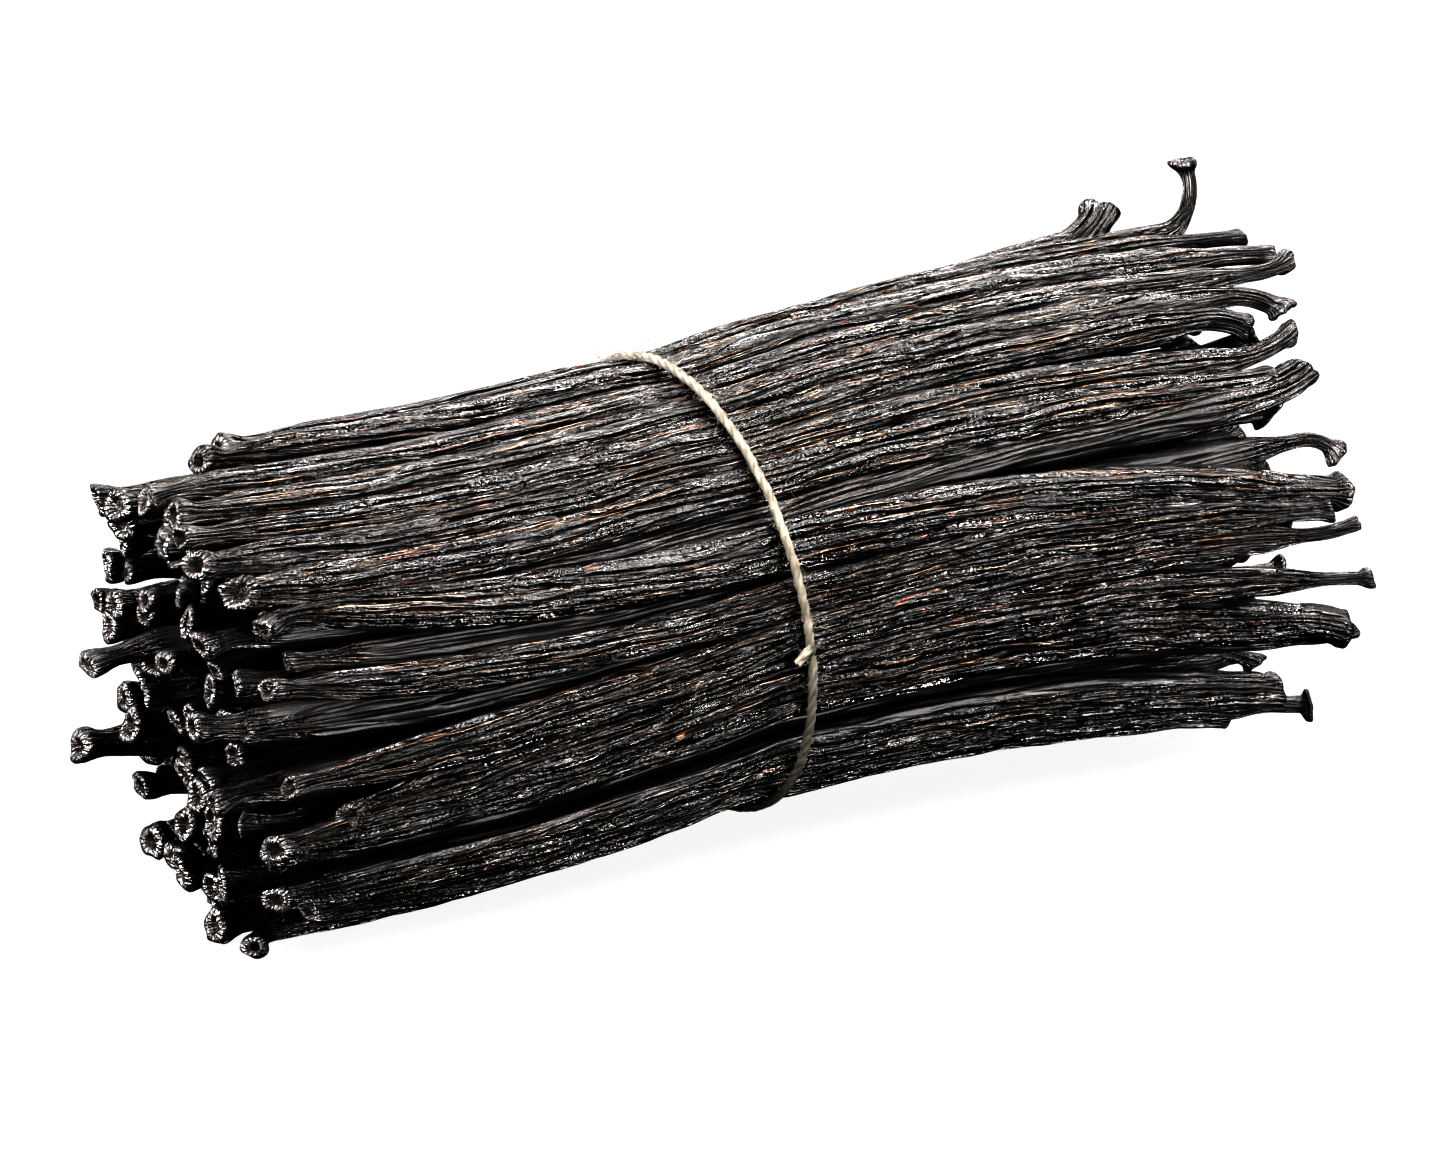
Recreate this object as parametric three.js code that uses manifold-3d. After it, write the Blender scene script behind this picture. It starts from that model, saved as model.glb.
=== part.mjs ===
// A tied bundle of cured vanilla pods, lying on a table. Millimetres, +Z up.
//
// The pods run along X, flower ends at -X and stem ends at +X. They are packed in rings round the
// bundle's axis, pulled in at the waist by one loop of twine and spreading towards both ends.
// Seen from -Y, the clock of a pod is its angle round the axis: 0 faces -Y, 90 is the top, -90 the underside.
// Two solids: "pods", a fluted core with every pod that shows fused on, and "twine", the loop and its
// cut end.
import * as THREE from "three";
import { mergeVertices } from "three/addons/utils/BufferGeometryUtils.js";
import Module from "manifold-3d";

const wasm = await Module();
wasm.setup();

// ---- Driving sizes of the bundle
const WAIST_RADIUS = 33; // over the pods
const TIED_AT = 2.9; // X of the twine's loop, a little off the middle of the waist
const PINCH = 1; // the twine bites this deep into the pods
const PINCH_REACH = 9; // and this far along them
const SPREAD_AT = 82; // distance from the waist at which the two spreads are stated
const LEFT_SPREAD = 2.8; // growth of the bundle's radius there
const RIGHT_SPREAD = 4.8;
const SWAY = 2.5; // the bundle's axis dips left of the waist and rises right of it
const SWAY_SPAN = 94; // half a wave of that sway
const TABLE_BELOW_AXIS = 35.2; // the table flattens the lowest pods a little

// ---- Driving sizes of a pod
const POD_WIDTH = 6.7; // across a full pod, round the bundle
const POD_FLATNESS = 0.88; // thickness over width
const LEFT_END = -75; // where a usual pod in the middle of the bundle ends
const RIGHT_END = 84;
const SLANT_Y = 0.15; // the left ends lie this much further in for each mm towards +Y
const SLANT_Z = 0.09; // and for each mm down
const END_SCATTER = 3.5; // how far the ends vary either way
const LONGEST = 11; // and how far the longest pods stand out
const LONG_RARITY = 7; // the higher, the fewer of those there are
const DRIFT_BEND = 1.4; // a pod's clock changes with this power of the distance from the waist
const LIFT_BEND = 4; // and its lift with this one
const LEAST_TURN = 0.5; // degrees of bend that count as none
const FLOWER_NECK = 0.74; // usual neck behind the flower scar, as a share of the pod's width
const STEM_NECK = 0.5; // and before the stem scar
const SCAR_FLARE = 1.16; // a flower scar is this much wider than its neck
const SCAR_RIM = 1.5; // length of the scar's rim
const SCAR_DISH = 0.5; // depth of its hollow face
const NECK_AT = 4.5; // from the flower tip to the thinnest part of the neck
const SHOULDER_AT = 13; // and to where the body is nearly full
const FOOT_FLARE = 1.55; // a usual stem foot is this much wider than its neck
const FOOT_LENGTH = 3.2;
const STEM_LENGTH = 8; // of the thin part, from the stem tip
const STEM_TAPER = 17; // and to where the body is half full
const BODY_RINGS = [-38, TIED_AT, 40]; // X of the rings along a pod's body

// ---- Rings of pods, from the skin of the bundle inwards
const RING_STEP = 5.6; // from one ring's middle to the next one's
const BACK_PODS = 13; // outer pods on the side that faces +Y
const INNER_RINGS = [23, 17, 11, 5]; // pods in each ring under the skin

// ---- Core that fills the bundle behind the pods that show
const CORE_DEPTH = 4.4; // below the bundle's skin
const CORE_LEFT = -62;
const CORE_RIGHT = 70;
const FLUTES = 23; // one for each pod of the second ring
const FLUTE_DEPTH = 0.9;
const CORE_STEPS = 3; // rings of facets along it
const ROOT_DEPTH = 3; // how far the hidden pods' stubs reach into it

// ---- Twine
const TWINE_RADIUS = 0.72;
const TWINE_GAP = 0.4; // clear of the pods at the waist
const TWINE_LOOP = WAIST_RADIUS - PINCH + TWINE_GAP + TWINE_RADIUS; // radius of the twine's middle line
const TWINE_LEAN_Y = -0.02; // the loop leans along X by this much for each mm of Y
const TWINE_LEAN_Z = -0.1; // and of Z
const TAIL_CLOCK = 1.5; // the cut end shows here
const TAIL_LENGTH = 3.4;
const TAIL_RADIUS = 0.65;
const TAIL_TURN = 40; // degrees that the cut end lies off the bundle's length
const TAIL_SINK = 0.25; // how far its middle line lies outside the loop's

// ---- Facets
const OUTER_SIDES = 6;
const INNER_SIDES = 4;
const TWINE_SIDES = 6;
const TWINE_STEPS = 60;

// The outer pods of the side that faces -Y, from behind the top of the bundle to its underside.
// clocks: degrees at the left spread, at the waist and at the right spread
// ends: X of both tips before they are bent
// size: width over a usual pod's
// sunk: mm under the bundle's skin
// lift: mm that each end stands off the bundle
// necks: width of each neck over the pod's
// flare: width of the stem foot over its neck's
// curl and crook: bend of the flower end and of the stem end, as [length in mm, degrees, heading],
//   with a heading of 0 off the bundle, 90 up the clock, 180 into the bundle and -90 down the clock
const FRONT_PODS = [
  {
    clocks: [127, 130, 122],
    ends: [-60, 88],
    lift: [0, 2],
    necks: [0.8, 0.8],
    flare: 1.2,
    crook: [12, 50, 0],
  },
  { clocks: [116, 119, 114], ends: [-62, 106], necks: [0.8, 0.34], flare: 1.9, crook: [16, 115, 0] },
  { clocks: [106, 108, 97], ends: [-64, 97], necks: [0.8, 0.4], flare: 1.15, crook: [16, 28, -90] },
  {
    clocks: [99, 95, 84],
    ends: [-71, 97],
    size: 1.06,
    necks: [0.55, 0.42],
    flare: 1.2,
    curl: [8, 30, -90],
    crook: [10, 25, -90],
  },
  {
    clocks: [76, 80, 73],
    ends: [-84, 97],
    size: 0.9,
    necks: [0.55, 0.4],
    flare: 1.5,
    curl: [10, 25, -90],
    crook: [7, 40, 90],
  },
  { clocks: [67, 70, 66], ends: [-82, 93], size: 0.92, necks: [0.6, 0.5], flare: 1.6, crook: [10, 65, -100] },
  { clocks: [59, 61, 60], ends: [-83, 85], size: 0.82, necks: [0.55, 0.6], flare: 1.3, crook: [9, 40, -120] },
  { clocks: [51, 53, 47], ends: [-84, 90], size: 0.86, necks: [0.78, 0.5], flare: 1.2, crook: [14, 35, 90] },
  { clocks: [43, 45, 41], ends: [-80, 83], size: 0.9, necks: [0.85, 0.7], flare: 1.2 },
  {
    clocks: [37, 36, 38],
    ends: [-74, 89],
    size: 0.82,
    sunk: 2.4,
    lift: [0, 2.4],
    necks: [0.6, 0.95],
    flare: 1.05,
    crook: [12, 30, 90],
  },
  { clocks: [41, 27, 15], ends: [-76, 91], size: 1.12, necks: [0.45, 0.5], flare: 1.4, curl: [9, 45, -100] },
  {
    clocks: [28, 20, 26],
    ends: [-72, 92],
    size: 0.9,
    sunk: 4,
    lift: [0, 3],
    necks: [0.5, 0.34],
    flare: 1.8,
    crook: [7, 75, -90],
  },
  { clocks: [21, 13.5, 10], ends: [-78, 88], size: 0.78, necks: [0.6, 0.5], flare: 1.3 },
  { clocks: [10, 9, 8], ends: [-80, 84], size: 0.95, sunk: 4.5, necks: [0.5, 0.4], flare: 1.3 },
  { clocks: [-4, 4, 4], ends: [-76, 92], size: 0.88, necks: [0.5, 0.34], flare: 1.15, crook: [8, 20, 90] },
  { clocks: [-16, -5, -7], ends: [-68, 95], size: 0.86, necks: [0.8, 0.34], flare: 1.7 },
  {
    clocks: [-21, -14, -19],
    ends: [-78, 93],
    size: 1.06,
    necks: [0.62, 0.7],
    flare: 1.1,
    crook: [10, 20, -90],
  },
  {
    clocks: [-30, -25, -27],
    ends: [-74, 96],
    sunk: 3.5,
    lift: [0, 1.5],
    necks: [0.6, 0.36],
    flare: 1.15,
    crook: [9, 35, 90],
  },
  { clocks: [-41, -38, -44], ends: [-75, 87], size: 1.08, necks: [0.6, 0.7], flare: 1.1 },
  { clocks: [-60, -52, -54], ends: [-66, 97], size: 1.06, necks: [0.55, 0.38], flare: 2 },
  { clocks: [-71, -67, -66], ends: [-77, 86], necks: [0.5, 0.6], flare: 1, curl: [16, 65, 75] },
];

// The other pods are drawn by lot, within these ranges
const LOT = {
  crowding: [-1.5, 1.5], // degrees that an outer pod strays from its even place
  depth: [0, 1], // and mm that it sinks under the skin
  drift: [-4, 4], // degrees that a pod gains towards each end
  size: [0.9, 1.08],
  flowerNeck: [0.5, 0.76],
  stemNeck: [0.36, 0.62],
  curlLength: [8, 12],
  curlTurn: [0, 25],
  crookLength: [7, 12],
  crookTurn: [0, 50],
  heading: [-180, 180],
};
const BACK_START = -73; // clock where the outer pods of the far side begin, going down and round
const BACK_END = -224;

// Park and Miller's random numbers, the same on every run
const MODULUS = 2147483647;
const MULTIPLIER = 16807;
let draw = 191;
function random(low, high) {
  draw = (draw * MULTIPLIER) % MODULUS;
  return low + ((high - low) * draw) / MODULUS;
}

const radians = THREE.MathUtils.degToRad;

function skinRadius(x) {
  const spread = x < 0 ? LEFT_SPREAD : RIGHT_SPREAD;
  const pinch = PINCH * Math.exp(-(((x - TIED_AT) / PINCH_REACH) ** 2));
  return WAIST_RADIUS - pinch + spread * (x / SPREAD_AT) ** 2;
}

function sway(x) {
  return SWAY * Math.sin((Math.PI * x) / SWAY_SPAN);
}

// A pod with every field filled in
function pod({
  clocks,
  ends,
  size = 1,
  sunk = 0,
  lift = [0, 0],
  necks = [FLOWER_NECK, STEM_NECK],
  flare = FOOT_FLARE,
  curl = [10, 0, 0],
  crook = [8, 0, 0],
}) {
  return { clocks, ends, radius: (size * POD_WIDTH) / 2, sunk, lift, necks, flare, curl, crook };
}

// A pod drawn by lot, round about one clock and one depth under the skin
function randomPod(clock, sunk) {
  const radius = WAIST_RADIUS - sunk;
  const slant = -radius * (SLANT_Y * Math.cos(radians(clock)) + SLANT_Z * Math.sin(radians(clock)));
  return pod({
    clocks: [clock + random(...LOT.drift), clock, clock + random(...LOT.drift)],
    ends: [
      LEFT_END + slant + random(-END_SCATTER, END_SCATTER) - LONGEST * random(0, 1) ** LONG_RARITY,
      RIGHT_END + random(-END_SCATTER, END_SCATTER),
    ],
    size: random(...LOT.size),
    sunk,
    necks: [random(...LOT.flowerNeck), random(...LOT.stemNeck)],
    curl: [random(...LOT.curlLength), random(...LOT.curlTurn), random(...LOT.heading)],
    crook: [random(...LOT.crookLength), random(...LOT.crookTurn), random(...LOT.heading)],
  });
}

// The outer pods, hand-set in front and drawn by lot behind
function outerPods() {
  const step = (BACK_END - BACK_START) / BACK_PODS;
  const back = Array.from({ length: BACK_PODS }, (_, i) =>
    randomPod(BACK_START + step * (i + 0.5) + random(...LOT.crowding), random(...LOT.depth)),
  );
  return [...FRONT_PODS.map(pod), ...back];
}

// The pods of the rings under the skin, of which only the ends show
function innerPods() {
  return INNER_RINGS.flatMap((count, ring) => {
    const start = random(0, 360);
    return Array.from({ length: count }, (_, i) =>
      randomPod(start + (360 * i) / count + random(...LOT.crowding), RING_STEP * (ring + 1)),
    );
  });
}

// Where the pod's middle is at X, with the directions off the bundle and up the clock there
function bodyFrame(pod, x) {
  const side = x < 0 ? 0 : 1;
  const reach = Math.abs(x) / SPREAD_AT;
  const waistClock = pod.clocks[1];
  const clock = radians(waistClock + (pod.clocks[2 * side] - waistClock) * reach ** DRIFT_BEND);
  const share = 1 - (pod.sunk + pod.radius * POD_FLATNESS) / WAIST_RADIUS;
  const radius = skinRadius(x) * Math.max(share, 0) + pod.lift[side] * reach ** LIFT_BEND;
  return {
    centre: new THREE.Vector3(x, -radius * Math.cos(clock), sway(x) + radius * Math.sin(clock)),
    off: new THREE.Vector3(0, -Math.cos(clock), Math.sin(clock)),
    up: new THREE.Vector3(0, Math.sin(clock), Math.cos(clock)),
  };
}

// The same, for any distance along the pod from its left tip: the ends bend as arcs of a circle
function podFrame(pod, along) {
  const [curlLength] = pod.curl;
  const [crookLength] = pod.crook;
  const length = pod.ends[1] - pod.ends[0];
  const atLeft = along < curlLength;
  const past = atLeft ? curlLength - along : along - (length - crookLength);
  if (past <= 0) return bodyFrame(pod, pod.ends[0] + along);
  const [bendLength, turn, heading] = atLeft ? pod.curl : pod.crook;
  const way = atLeft ? -1 : 1;
  const start = bodyFrame(pod, atLeft ? pod.ends[0] + curlLength : pod.ends[1] - crookLength);
  const near = bodyFrame(pod, start.centre.x - way);
  const ahead = start.centre.clone().sub(near.centre).normalize();
  const toward = start.off
    .clone()
    .multiplyScalar(Math.cos(radians(heading)))
    .addScaledVector(start.up, Math.sin(radians(heading)));
  toward.addScaledVector(ahead, -toward.dot(ahead)).normalize();
  const bend = radians(Math.max(turn, LEAST_TURN));
  const bendRadius = bendLength / bend;
  const angle = past / bendRadius;
  const turning = new THREE.Quaternion().setFromAxisAngle(ahead.clone().cross(toward).normalize(), angle);
  return {
    centre: start.centre
      .addScaledVector(ahead, bendRadius * Math.sin(angle))
      .addScaledVector(toward, bendRadius * (1 - Math.cos(angle))),
    off: start.off.applyQuaternion(turning),
    up: start.up.applyQuaternion(turning),
  };
}

// Radius of the pod at distances from its flower tip: scar, rim, neck and shoulder
function flowerEnd(pod) {
  const neck = pod.radius * pod.necks[0];
  const scar = Math.min(neck * SCAR_FLARE, pod.radius);
  return [
    [scar, 0],
    [scar, SCAR_RIM],
    [neck, NECK_AT],
    [0.5 * (neck + pod.radius), SHOULDER_AT],
  ];
}

// The same from its stem tip: foot, stem and taper
function stemEnd(pod) {
  const neck = pod.radius * pod.necks[1];
  const foot = Math.min(neck * pod.flare, pod.radius);
  return [
    [foot, 0],
    [neck, FOOT_LENGTH],
    [neck, STEM_LENGTH],
    [0.55 * (neck + pod.radius), STEM_TAPER],
  ];
}

// A closed profile, turned round the pod's length, then bent along the pod
function bent(pod, profile, sides) {
  const geometry = new THREE.LatheGeometry(
    profile.map(([radius, along]) => new THREE.Vector2(radius, along)),
    sides,
  );
  const position = geometry.getAttribute("position");
  const point = new THREE.Vector3();
  for (let i = 0; i < position.count; i++) {
    point.fromBufferAttribute(position, i);
    const { centre, off, up } = podFrame(pod, point.y);
    centre.addScaledVector(up, point.x).addScaledVector(off, point.z * POD_FLATNESS);
    position.setXYZ(i, centre.x, centre.y, centre.z);
  }
  return geometry;
}

function outerPod(pod) {
  const length = pod.ends[1] - pod.ends[0];
  const body = BODY_RINGS.map((x) => [pod.radius, x - pod.ends[0]]);
  const stem = stemEnd(pod).map(([radius, back]) => [radius, length - back]);
  const profile = [[0, SCAR_DISH], ...flowerEnd(pod), ...body, ...stem.reverse(), [0, length]];
  return bent(pod, profile, OUTER_SIDES);
}

// Both ends of a pod whose middle is hidden, each rooted in the core
function innerStubs(pod) {
  const length = pod.ends[1] - pod.ends[0];
  const leftRoot = CORE_LEFT + ROOT_DEPTH - pod.ends[0];
  const rightRoot = CORE_RIGHT - ROOT_DEPTH - pod.ends[0];
  const [[scar], , [neck]] = flowerEnd(pod);
  const [[foot], [stem]] = stemEnd(pod);
  const footRoot = length - FOOT_LENGTH;
  const left = [[0, SCAR_DISH], [scar, 0], [neck, NECK_AT], [neck, leftRoot], [0, leftRoot]];
  const right = [[0, rightRoot], [stem, rightRoot], [stem, footRoot], [foot, length], [0, length]];
  return [bent(pod, left, INNER_SIDES), bent(pod, right, INNER_SIDES)];
}

// The core: a cylinder under the skin, with a flute between the pods of the second ring
function core() {
  const geometry = new THREE.CylinderGeometry(1, 1, 1, FLUTES * 2, CORE_STEPS);
  const position = geometry.getAttribute("position");
  for (let i = 0; i < position.count; i++) {
    const share = Math.hypot(position.getX(i), position.getZ(i));
    const clock = Math.atan2(position.getX(i), position.getZ(i));
    const x = CORE_LEFT + (CORE_RIGHT - CORE_LEFT) * (0.5 + position.getY(i));
    const flute = FLUTE_DEPTH * 0.5 * (1 - Math.cos(FLUTES * clock));
    const radius = share * (skinRadius(x) - CORE_DEPTH - flute);
    position.setXYZ(i, x, -radius * Math.cos(clock), sway(x) + radius * Math.sin(clock));
  }
  return geometry;
}

// A geometry as a manifold-3d solid, facing outwards
function solid(geometry) {
  const plain = new THREE.BufferGeometry().setAttribute("position", geometry.getAttribute("position"));
  plain.setIndex(geometry.index);
  const merged = mergeVertices(plain, 1e-4);
  const triVerts = new Uint32Array(merged.index.array);
  const vertProperties = new Float32Array(merged.getAttribute("position").array);
  const made = new wasm.Manifold(new wasm.Mesh({ numProp: 3, vertProperties, triVerts }));
  if (made.volume() > 0) return made;
  for (let i = 0; i < triVerts.length; i += 3) triVerts.subarray(i + 1, i + 3).reverse();
  return new wasm.Manifold(new wasm.Mesh({ numProp: 3, vertProperties, triVerts }));
}

function geometryOf(made) {
  const { vertProperties, triVerts } = made.getMesh();
  return new THREE.BufferGeometry()
    .setAttribute("position", new THREE.BufferAttribute(vertProperties, 3))
    .setIndex(new THREE.BufferAttribute(triVerts, 1));
}

// Everything below the table's top, as one box to cut away
function table() {
  const size = 400;
  return solid(new THREE.BoxGeometry(size, size, size).translate(0, 0, -TABLE_BELOW_AXIS - size / 2));
}

// The largest shell alone: pockets that the pods close off between them are filled, scraps dropped
function outerShell(made) {
  return made.decompose().reduce((largest, shell) => (shell.volume() > largest.volume() ? shell : largest));
}

function podsGeometry() {
  const pieces = [core(), ...outerPods().map(outerPod), ...innerPods().flatMap(innerStubs)];
  const fused = pieces.map(solid).reduce((whole, piece) => whole.add(piece));
  return geometryOf(outerShell(fused.subtract(table())));
}

// A point of the twine's middle line
function twinePoint(clock, radius) {
  const y = -radius * Math.cos(clock);
  const z = radius * Math.sin(clock);
  const x = TIED_AT + TWINE_LEAN_Y * y + TWINE_LEAN_Z * z;
  return new THREE.Vector3(x, y, z + sway(x));
}

function twineLoop() {
  const geometry = new THREE.TorusGeometry(TWINE_LOOP, TWINE_RADIUS, TWINE_SIDES, TWINE_STEPS);
  const position = geometry.getAttribute("position");
  for (let i = 0; i < position.count; i++) {
    const radius = Math.hypot(position.getX(i), position.getY(i));
    const clock = Math.atan2(position.getY(i), position.getX(i));
    const point = twinePoint(clock, radius);
    position.setXYZ(i, point.x + position.getZ(i), point.y, point.z);
  }
  return geometry;
}

function twineTail() {
  const root = twinePoint(radians(TAIL_CLOCK), TWINE_LOOP);
  return new THREE.CapsuleGeometry(TAIL_RADIUS, TAIL_LENGTH, 3, TWINE_SIDES)
    .translate(0, TAIL_LENGTH / 2, 0)
    .rotateX(Math.PI / 2)
    .rotateY(radians(-90 - TAIL_TURN))
    .translate(root.x, root.y - TAIL_SINK, root.z);
}

function twineGeometry() {
  return geometryOf(solid(twineLoop()).add(solid(twineTail())));
}

const podSkin = new THREE.MeshStandardMaterial({ color: 0x1b1412, roughness: 0.42, metalness: 0 });
const twineFibre = new THREE.MeshStandardMaterial({ color: 0xd6cbb4, roughness: 0.85, metalness: 0 });

function node(name, geometry, material) {
  const mesh = new THREE.Mesh(geometry, material);
  mesh.name = name;
  return mesh;
}

const bundle = new THREE.Group();
bundle.add(node("pods", podsGeometry(), podSkin));
bundle.add(node("twine", twineGeometry(), twineFibre));

// The origin is the middle of the bundle's footprint, on the table
const box = new THREE.Box3().setFromObject(bundle);
const middle = box.getCenter(new THREE.Vector3());
bundle.position.set(-middle.x, -middle.y, -box.min.z);

export default bundle;
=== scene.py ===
"""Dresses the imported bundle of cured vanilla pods: 90 whole pods, their twine and a plain studio."""

import math
import random
from functools import partial

import bpy
import numpy as np
from mathutils import Matrix, Vector


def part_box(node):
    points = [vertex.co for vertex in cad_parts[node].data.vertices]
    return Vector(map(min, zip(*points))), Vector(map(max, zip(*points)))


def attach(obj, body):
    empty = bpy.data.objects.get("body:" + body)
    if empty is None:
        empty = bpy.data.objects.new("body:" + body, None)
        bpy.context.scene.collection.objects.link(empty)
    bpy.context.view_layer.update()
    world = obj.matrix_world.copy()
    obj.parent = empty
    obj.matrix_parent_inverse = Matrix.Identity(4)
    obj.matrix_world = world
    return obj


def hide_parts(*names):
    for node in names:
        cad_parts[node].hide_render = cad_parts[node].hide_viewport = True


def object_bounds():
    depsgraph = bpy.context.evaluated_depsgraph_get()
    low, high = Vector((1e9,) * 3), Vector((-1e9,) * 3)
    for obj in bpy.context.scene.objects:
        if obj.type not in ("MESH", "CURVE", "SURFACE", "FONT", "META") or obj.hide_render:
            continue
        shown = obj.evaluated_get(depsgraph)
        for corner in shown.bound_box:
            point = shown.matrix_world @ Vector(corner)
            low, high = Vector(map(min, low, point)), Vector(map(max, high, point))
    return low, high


bl_info = {
    "name": "Vanilla Bundle",
    "version": (1, 0, 0),
    "blender": (4, 5, 0),
    "location": "View3D > Sidebar > Bundle",
    "description": "Lays cured vanilla pods in a bundle and ties them with twine",
    "category": "Object",
}

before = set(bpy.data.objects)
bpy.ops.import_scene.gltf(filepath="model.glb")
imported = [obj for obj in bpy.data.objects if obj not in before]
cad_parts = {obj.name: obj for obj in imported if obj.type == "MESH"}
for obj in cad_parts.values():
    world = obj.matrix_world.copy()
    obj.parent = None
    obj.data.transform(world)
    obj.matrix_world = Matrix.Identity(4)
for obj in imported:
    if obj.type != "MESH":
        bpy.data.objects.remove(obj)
CAD_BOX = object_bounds()

MM = 0.001

# ---- The bundle, as its solids have it. Millimetres from the bundle's axis at the waist.
WAIST_RADIUS = 33
TIED_AT = 2.9  # X of the twine's loop
PINCH = 1
PINCH_REACH = 9
SPREAD_AT = 82
LEFT_SPREAD = 2.8
RIGHT_SPREAD = 4.8
SWAY = 2.5
SWAY_SPAN = 94

# ---- A pod
POD_WIDTH = 6.7
POD_FLATNESS = 0.88  # thickness over width
LEFT_END = -75
RIGHT_END = 84
SLANT_Y = 0.15
SLANT_Z = 0.09
END_SCATTER = 3.5
LONGEST = 11  # mm that the longest flower ends stand out
LONG_RARITY = 7  # power that makes most of them short
DRIFT_BEND = 1.4  # power by which a pod's clock drifts towards its ends
LIFT_BEND = 4
LEAST_TURN = 0.5  # degrees, so that a straight end is an arc too
FLOWER_NECK = 0.74  # width of a usual neck over the pod's
STEM_NECK = 0.5
SCAR_FLARE = 1.16
SCAR_RIM = 1.5  # this and the next two: mm from the flower tip
NECK_AT = 4.5
SHOULDER_AT = 13
FOOT_FLARE = 1.55
FOOT_LENGTH = 3.2  # this and the next two: mm from the stem tip
STEM_LENGTH = 8
STEM_TAPER = 17
BODY_RINGS = (-38, TIED_AT, 40)

# ---- Rings of pods
RING_STEP = 5.6  # mm
BACK_PODS = 13
BACK_START = -73  # degrees
BACK_END = -224
INNER_RINGS = (23, 17, 11, 5)  # pods in each

# ---- Twine
TWINE_OUTSIDE = 33.84  # radius of the loop's outer edge, which finds the bundle's axis in the frame
TWINE_LOOP = 32.66  # radius of its middle line, where it bites into the pods
TWINE_LEAN_Y = -0.02
TWINE_LEAN_Z = -0.1
TAIL_CLOCK = 1.5
TAIL_LENGTH = 3.0
TAIL_TURN = 40

# The outer pods of the side that faces -Y, from behind the top to the underside.
# clocks: degrees at the left spread, at the waist and at the right spread; ends: X of both tips
# size: width over a usual pod's; sunk: mm under the skin; lift: mm that each end stands off
# necks: width of each neck over the pod's; flare: width of the stem foot over its neck's
# curl and crook: bend of each end, as mm, degrees, heading
# face: how the flower scar leans off square, as shares of its radius up the clock and off the bundle
FRONT_PODS = (
    {"clocks": (127, 130, 122), "ends": (-60, 88), "lift": (0, 2), "necks": (0.8, 0.8), "flare": 1.2,
     "crook": (12, 50, 0)},
    {"clocks": (116, 119, 114), "ends": (-62, 106), "necks": (0.8, 0.34), "flare": 1.9,
     "crook": (16, 115, 0)},
    {"clocks": (106, 108, 97), "ends": (-64, 97), "necks": (0.8, 0.4), "flare": 1.15,
     "crook": (16, 28, -90)},
    {"clocks": (99, 95, 84), "ends": (-71, 97), "size": 1.06, "necks": (0.55, 0.42), "flare": 1.2,
     "curl": (8, 30, -90), "crook": (10, 25, -90), "face": (0.2, 0.5)},
    {"clocks": (76, 80, 73), "ends": (-84, 97), "size": 0.9, "necks": (0.55, 0.4), "flare": 1.5,
     "curl": (10, 25, -90), "crook": (7, 40, 90), "face": (0.5, -0.5)},
    {"clocks": (67, 70, 66), "ends": (-82, 93), "size": 0.92, "necks": (0.6, 0.5), "flare": 1.6,
     "crook": (10, 65, -100)},
    {"clocks": (59, 61, 60), "ends": (-83, 85), "size": 0.82, "necks": (0.55, 0.6), "flare": 1.3,
     "crook": (9, 40, -120), "face": (-0.2, 0.4)},
    {"clocks": (51, 53, 47), "ends": (-84, 90), "size": 0.86, "necks": (0.78, 0.5), "flare": 1.2,
     "crook": (14, 35, 90), "face": (-0.3, 0.9)},
    {"clocks": (43, 45, 41), "ends": (-80, 83), "size": 0.9, "necks": (0.85, 0.7), "flare": 1.2,
     "face": (-0.3, 1.0)},
    {"clocks": (37, 36, 38), "ends": (-74, 89), "size": 0.82, "sunk": 2.4, "lift": (0, 2.4),
     "necks": (0.6, 0.95), "flare": 1.05, "crook": (12, 30, 90)},
    {"clocks": (41, 27, 15), "ends": (-76, 91), "size": 1.12, "necks": (0.45, 0.5), "flare": 1.4,
     "curl": (9, 45, -100), "face": (0.2, 0.3)},
    {"clocks": (28, 20, 26), "ends": (-72, 92), "size": 0.9, "sunk": 4, "lift": (0, 3),
     "necks": (0.5, 0.34), "flare": 1.8, "crook": (7, 75, -90)},
    {"clocks": (21, 13.5, 10), "ends": (-78, 88), "size": 0.78, "necks": (0.6, 0.5), "flare": 1.3,
     "face": (0.1, 0.5)},
    {"clocks": (10, 9, 8), "ends": (-80, 84), "size": 0.95, "sunk": 4.5, "necks": (0.5, 0.4), "flare": 1.3,
     "face": (0.1, 0.6)},
    {"clocks": (-4, 4, 4), "ends": (-76, 92), "size": 0.88, "necks": (0.5, 0.34), "flare": 1.15,
     "crook": (8, 20, 90), "face": (0.4, 0.4)},
    {"clocks": (-16, -5, -7), "ends": (-68, 95), "size": 0.86, "necks": (0.8, 0.34), "flare": 1.7,
     "face": (0.5, 1.0)},
    {"clocks": (-21, -14, -19), "ends": (-78, 93), "size": 1.06, "necks": (0.62, 0.7), "flare": 1.1,
     "crook": (10, 20, -90), "face": (0.4, 0.7)},
    {"clocks": (-30, -25, -27), "ends": (-74, 96), "sunk": 3.5, "lift": (0, 1.5),
     "necks": (0.6, 0.36), "flare": 1.15, "crook": (9, 35, 90)},
    {"clocks": (-41, -38, -44), "ends": (-75, 87), "size": 1.08, "necks": (0.6, 0.7), "flare": 1.1,
     "face": (0.5, 0.5)},
    {"clocks": (-60, -52, -54), "ends": (-66, 97), "size": 1.06, "necks": (0.55, 0.38), "flare": 2,
     "face": (0.2, 0.5)},
    {"clocks": (-71, -67, -66), "ends": (-77, 86), "necks": (0.5, 0.6), "flare": 1,
     "curl": (16, 65, 75)},
)

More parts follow.
